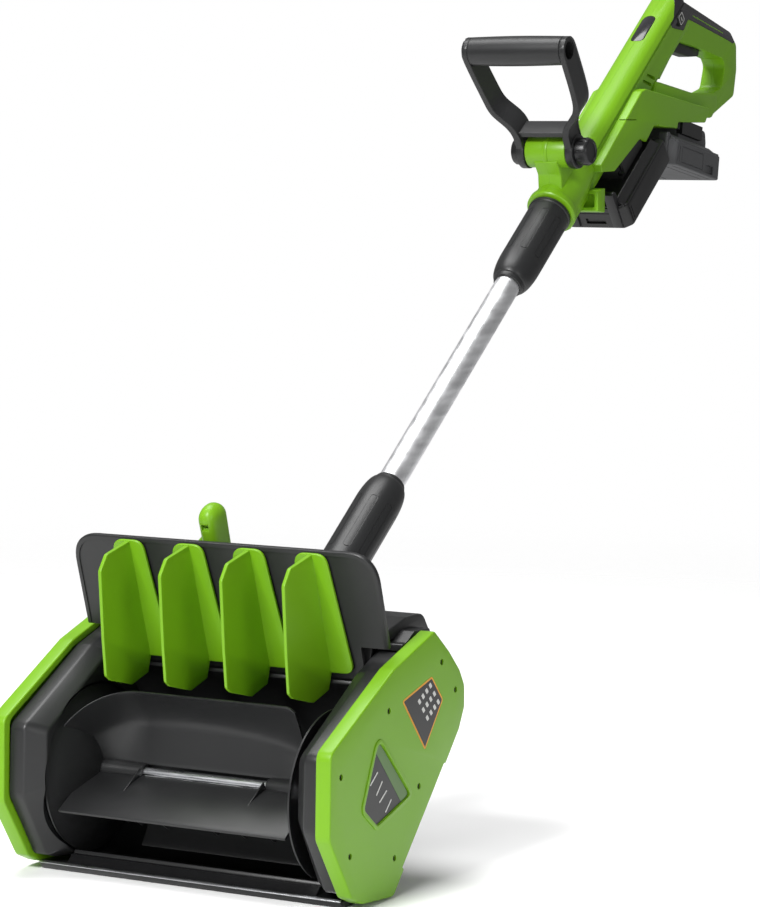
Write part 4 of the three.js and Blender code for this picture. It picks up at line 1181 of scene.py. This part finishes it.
def lock_button():
    """A rounded square button; its mark is a plain ring with a bar."""
    face = SPINE_HALF + 1.2
    button = lock_square("lock_button_made", 0, 4, face)
    soften(button, 0.8, 3, 50)
    stands_for(button, "lock_off_button", DARK, 30)
    ring = lock_square("lock_button_ring", -1.2, face - 0.3, face + 0.08, 2)
    cut(ring, lock_square("middle", -1.9, 0, 60, 1.6))
    finish(ring, WHITE, "lock_off")
    s, n = LOCK_AT
    corners = [(s - 0.6, n - 3), (s + 0.6, n - 3), (s + 0.6, n + 2), (s - 0.6, n + 2)]
    mark = prism("lock_button_mark", corners, face - 0.3, face + 0.08, matrix=POLE)
    finish(mark, WHITE, "lock_off")


def trigger():
    made = side("trigger_made", [(911, 727, 3), (912, 716, 4), (930, 708.5, 12), (962, 704.5, 14),
        (986, 705.5, 4), (989, 716, 4), (960, 722, 6), (925, 730, 4)], 6.8, steps=8)
    soften(made, 2.2, 4, 40)
    stands_for(made, "trigger", DARK, 30)


handle()
status_window()
lock_button()
trigger()


# ---------------- front handle
# Its own frame: the pivot at the origin, z towards the grip.
FRONT = Matrix.Translation(PIVOT_AT) @ tilt_x(36.0)
GRIP_REACH = 119.9
STRAP_STATIONS = [  # along, centre, half width, how far out, half thickness
    (-8, 0, 11, 26.8, 3.4),
    (6, 0.6, 13, 26.8, 3.6),
    (22, 2, 13.5, 26.9, 3.6),
    (30, 3, 14, 28.8, 3.6),
    (37, 3.8, 14, 33, 3.9),
    (44, 4.4, 14, 39.2, 4),
    (50, 4.6, 14, 44, 3.6),
    (57, 4.6, 14, 47, 3.2),
    (66, 4.4, 14, 48.6, 3),
    (82, 3.2, 14, 50.2, 2.9),
    (100, 1.5, 14, 51.6, 2.9),
    (GRIP_REACH, 0, 13.8, 52.8, 2.9),
    (GRIP_REACH + 7, 0, 11.9, 52.8, 2.9),
    (GRIP_REACH + 11, 0, 8.4, 52.8, 2.9),
    (GRIP_REACH + 13.4, 0, 3, 52.8, 2.8),
]


def spline(stations, steps=4):
    """More stations on a smooth curve through the given ones."""
    dense = []
    last = len(stations) - 1
    for i in range(last):
        a, b = stations[max(i - 1, 0)], stations[i]
        c, d = stations[i + 1], stations[min(i + 2, last)]
        for k in range(steps):
            t = k / steps
            point = []
            for p, q, r, s in zip(a, b, c, d):
                square, cube = 2 * p - 5 * q + 4 * r - s, 3 * q - p - 3 * r + s
                point.append((2 * q + (r - p) * t + square * t * t + cube * t**3) / 2)
            dense.append(point)
    dense.append(list(stations[-1]))
    return dense


def strap_section(half_width, half_thick):
    """A flat band with a raised bead along both edges on its outer face."""
    w, t = half_width, half_thick
    edge = min(1.6, w * 0.4)
    return [(-t + 0.6, -w), (t - 0.5, -w), (t, -w + 0.5), (t, -w + edge), (t - 0.7, -w + edge + 0.7),
        (t - 0.7, w - edge - 0.7), (t, w - edge), (t, w - 0.5), (t - 0.5, w), (-t + 0.6, w),
        (-t, w - 0.6), (-t, -w + 0.6)]


def strap(sign):
    rings = []
    for along, centre, half_width, out, thick in spline(STRAP_STATIONS):
        section = strap_section(half_width, thick)
        rings.append([(sign * (out + u), centre + v, along) for u, v in section])
    return skin("strap", rings, FRONT)


def front_handle():
    made = None
    for sign in (1, -1):
        band = strap(sign)
        ring = bar("ring", 17, sign * (BOSS_HALF + 0.6), sign * (BOSS_HALF + 9), "X", (0, 0), 64, FRONT)
        soften(ring, 1.2, 3, 40)
        lip = bar("lip", 15.2, sign * (BOSS_HALF + 8), sign * (BOSS_HALF + 9.3), "X", (0, 0), 64, FRONT)
        join(band, ring, lip)
        made = join(made, band) if made else band
    tube_core = bar("core", 11, -52, 52, "X", (0, GRIP_REACH), 48, FRONT)
    tie = block("tie", -26, 26, -8, 13, 24.6, 27.8, FRONT)
    soften(tie, 0.7, 2, 40)
    lip = block("lip", -26, 26, -8.6, -6.6, 23.4, 28.3, FRONT)
    soften(lip, 0.5, 2, 40)
    join(made, tube_core, tie, lip)
    boss_gap = bar("boss_gap", 17.3, -BOSS_HALF - 0.3, BOSS_HALF + 0.3, "X", (0, 0), 64, FRONT)
    holes = [bar("bolt", 5.3, -80, 80, "X", (0, 0), 32, FRONT)]
    holes.append(bar("grip_hole", 8.8, -80, 80, "X", (0, GRIP_REACH), 48, FRONT))
    for sign in (1, -1):
        holes.append(bar("mouth", 9.8, sign * 54.6, sign * 60, "X", (0, GRIP_REACH), 48, FRONT))
    cut(made, boss_gap, *holes)
    stands_for(made, "front_handle", BLACK, 34)


def front_grip_sleeve():
    half = 49.6
    profile = [(11.2, -half), (13.4, -half), (13.9, -half + 0.6)]
    for k in range(1, 12):
        x = -half + 0.6 + (2 * half - 1.2) * k / 12
        profile.append((13.9 + 0.75 * math.sin(math.pi * k / 12), x))
    profile += [(13.9, half - 0.6), (13.4, half), (11.2, half), (11.2, -half)]
    sleeve = turned("sleeve", profile, "X", 72, FRONT, (0, GRIP_REACH))
    stands_for(sleeve, "front_grip_sleeve", BLACK, 30)


def clamp_knob():
    """A low round knob with a sunk flat face and a ribbed rim, turned about the pivot."""
    profile = [(0, 31.5), (13.2, 31.5), (13.6, 32), (13.8, 40.6), (12.4, 43.6), (11.4, 44.5),
        (9.8, 44.5), (9.2, 43.4), (0, 43.4)]
    knob = turned("knob", profile, "X", 72, centre=PIVOT_YZ)
    grooves = []
    for k in range(10):
        angle = 2 * math.pi * k / 10
        at = (PIVOT_YZ[0] + 14.6 * math.cos(angle), PIVOT_YZ[1] + 14.6 * math.sin(angle))
        grooves.append(bar("groove", 1.7, 33.5, 42, "X", at, 16))
    cut(knob, *grooves)
    stands_for(knob, "clamp_knob", DARK, 34)


def pivot_fasteners():
    profile = [(0, -39.5), (10.4, -39.5), (12.2, -38.8), (13.2, -37.2), (13.2, -31.4), (0, -31.4)]
    cap = turned("cap", profile, "X", 56, centre=PIVOT_YZ)
    seat = bar("seat", 9.3, -37.6, -30, centre=PIVOT_YZ, sides=6)
    cut(cap, seat)
    stands_for(cap, "pivot_end_cap", DARK, 34)


front_handle()
front_grip_sleeve()
clamp_knob()
pivot_fasteners()


# ---------------- batteries
# A pack's own frame: y from its nose to its latch end, z from its flat face up to its rails.
PACK_LENGTH, PACK_HALF, PACK_SIDE, PACK_SHELL = 115, 37.5, 26, 33


def pack_case(name, seat, post_top, material, framed):
    """The shell: belly, sloped shoulders, a dished nose, two posts and a pad on each side."""
    belly_outline = [(-PACK_HALF, 7, 6), (-PACK_HALF + 8, 0, 6), (PACK_HALF - 8, 0, 6),
        (PACK_HALF, 7, 6), (PACK_HALF, PACK_LENGTH, 5), (-PACK_HALF, PACK_LENGTH, 5)]
    belly = prism("belly", rounded(belly_outline, 6), 0, PACK_SIDE, "Z", seat)
    soften(belly, 1.8, 3, 50)
    # A narrow step runs round the pack where the shell meets the belly.
    lip_outline = [(corner[0] * 0.985, 1.2 + corner[1] * 0.98, 6) for corner in belly_outline]
    lip = prism("lip", rounded(lip_outline, 6), PACK_SIDE - 3.1, PACK_SIDE + 1.2, "Z", seat)
    shoulder = [(-PACK_HALF + 2.6, PACK_SIDE - 2), (PACK_HALF - 2.6, PACK_SIDE - 2),
        (PACK_HALF - 3, PACK_SIDE + 1.5), (PACK_HALF - 11, PACK_SHELL, 3),
        (-PACK_HALF + 11, PACK_SHELL, 3), (-PACK_HALF + 3, PACK_SIDE + 1.5)]
    shell = prism("shell", rounded(shoulder, 4), 4, PACK_LENGTH - 3, "Y", seat)
    dish = bar("dish", 17, PACK_SIDE + 0.8, 60, "Z", (0, 4), 64, seat)
    step = block("step", -60, 60, 106, 130, PACK_SIDE + 1.4, 60, seat)
    cut(shell, dish, step)
    posts = []
    corners = [(-2.4, 2.5, 2), (5, 0.8), (6, 6), (6, post_top - 4, 3), (2, post_top, 2)]
    corners.append((-2.4, post_top - 1, 2))
    for x in (-24, 24):
        post = prism("post", rounded(corners, 4), x - 5.5, x + 5.5, matrix=seat)
        posts.append(soften(post, 1.1, 2, 40))
    join(belly, lip, shell, *posts)
    cuts = [block("nose_hole", -11, 11, -4, 2.2, 6, 12.5, seat)]
    cuts.append(block("nose_line", -18, 18, -4, 0.7, 18.6, 19.4, seat))
    for z in (8, 17):
        cuts.append(block("end_line", -30, 30, 113.6, 118, z, z + 1, seat))
    for sign in (1, -1):
        low, high = sign * (PACK_HALF - 0.7), sign * (PACK_HALF + 3)
        if framed:
            cuts.append(block("rear_window", sign * (PACK_HALF - 2.4), high, 78, 98, 3, 12, seat))
            for y in (18, 70):
                cuts.append(block("panel_line", low, high, y, y + 0.9, 5, 21, seat))
            for z in (4.4, 20.6):
                cuts.append(block("panel_line", low, high, 18, 70.9, z, z + 0.9, seat))
        for y in (8, 12):
            cuts.append(block("grip_line", low, high, y, y + 1, 5, 21, seat))
    for x in (-30, -20, 20, 30):
        cuts.append(block("foot_line", x - 0.6, x + 0.6, 12, 104, -1, 0.7, seat))
    cut(belly, *cuts)
    stands_for(belly, name, material, 30)


def pack_block(name, seat, material):
    """The slide block with its rail grooves, contact slots and the hump at the latch end."""
    section = [(-22, 33.3), (22, 33.3), (22, 38.1), (18.4, 38.1), (18.4, 42.9), (22, 42.9), (22, 48.8),
        (20.8, 50), (-20.8, 50), (-22, 48.8), (-22, 42.9), (-18.4, 42.9), (-18.4, 38.1), (-22, 38.1)]
    rail = prism("rail", section, 38, 94, "Y", seat)
    hump_outline = [(92, 33.3), (92, 52, 3), (109, 52, 6), (113, 40, 4), (113, 33.3)]
    hump = prism("hump", rounded(hump_outline, 6), -20, 20, matrix=seat)
    soften(hump, 1.6, 3, 40)
    join(rail, hump)
    cuts = [block("latch_pocket", -12.3, 12.3, 99, 130, 40, 70, seat)]
    for x in (-13, -4.5, 4.5, 13):
        cuts.append(block("contact_slot", x - 1.2, x + 1.2, 30, 70, 44, 60, seat))
    for sign in (1, -1):
        cuts.append(block("hump_line", sign * 19.4, sign * 24, 95, 110, 45.4, 46.2, seat))
    cut(rail, *cuts)
    stands_for(rail, name, material, 30)


def pack_latch(name, seat):
    corners = [(99.4, 43.5), (99.4, 50.5, 3), (108, 51.5, 4), (112.6, 43.5, 2)]
    latch = prism("latch", rounded(corners, 6), -12, 12, matrix=seat)
    soften(latch, 0.7, 2, 40)
    ridges = [block("ridge", -9, 9, 101.5 + 2.2 * k, 102.3 + 2.2 * k, 50.2, 53, seat) for k in range(3)]
    cut(latch, *ridges)
    stands_for(latch, name, GREEN, 34)


PACKS = ((SEAT_1, 46, DARK, False), (SEAT_2, 34, GREY, True))
for pack_number, (pack_seat, pack_post, pack_material, pack_framed) in enumerate(PACKS, 1):
    pack_case(f"battery_case_{pack_number}", pack_seat, pack_post, pack_material, pack_framed)
    pack_block(f"battery_slide_block_{pack_number}", pack_seat, pack_material)
    pack_latch(f"battery_latch_{pack_number}", pack_seat)
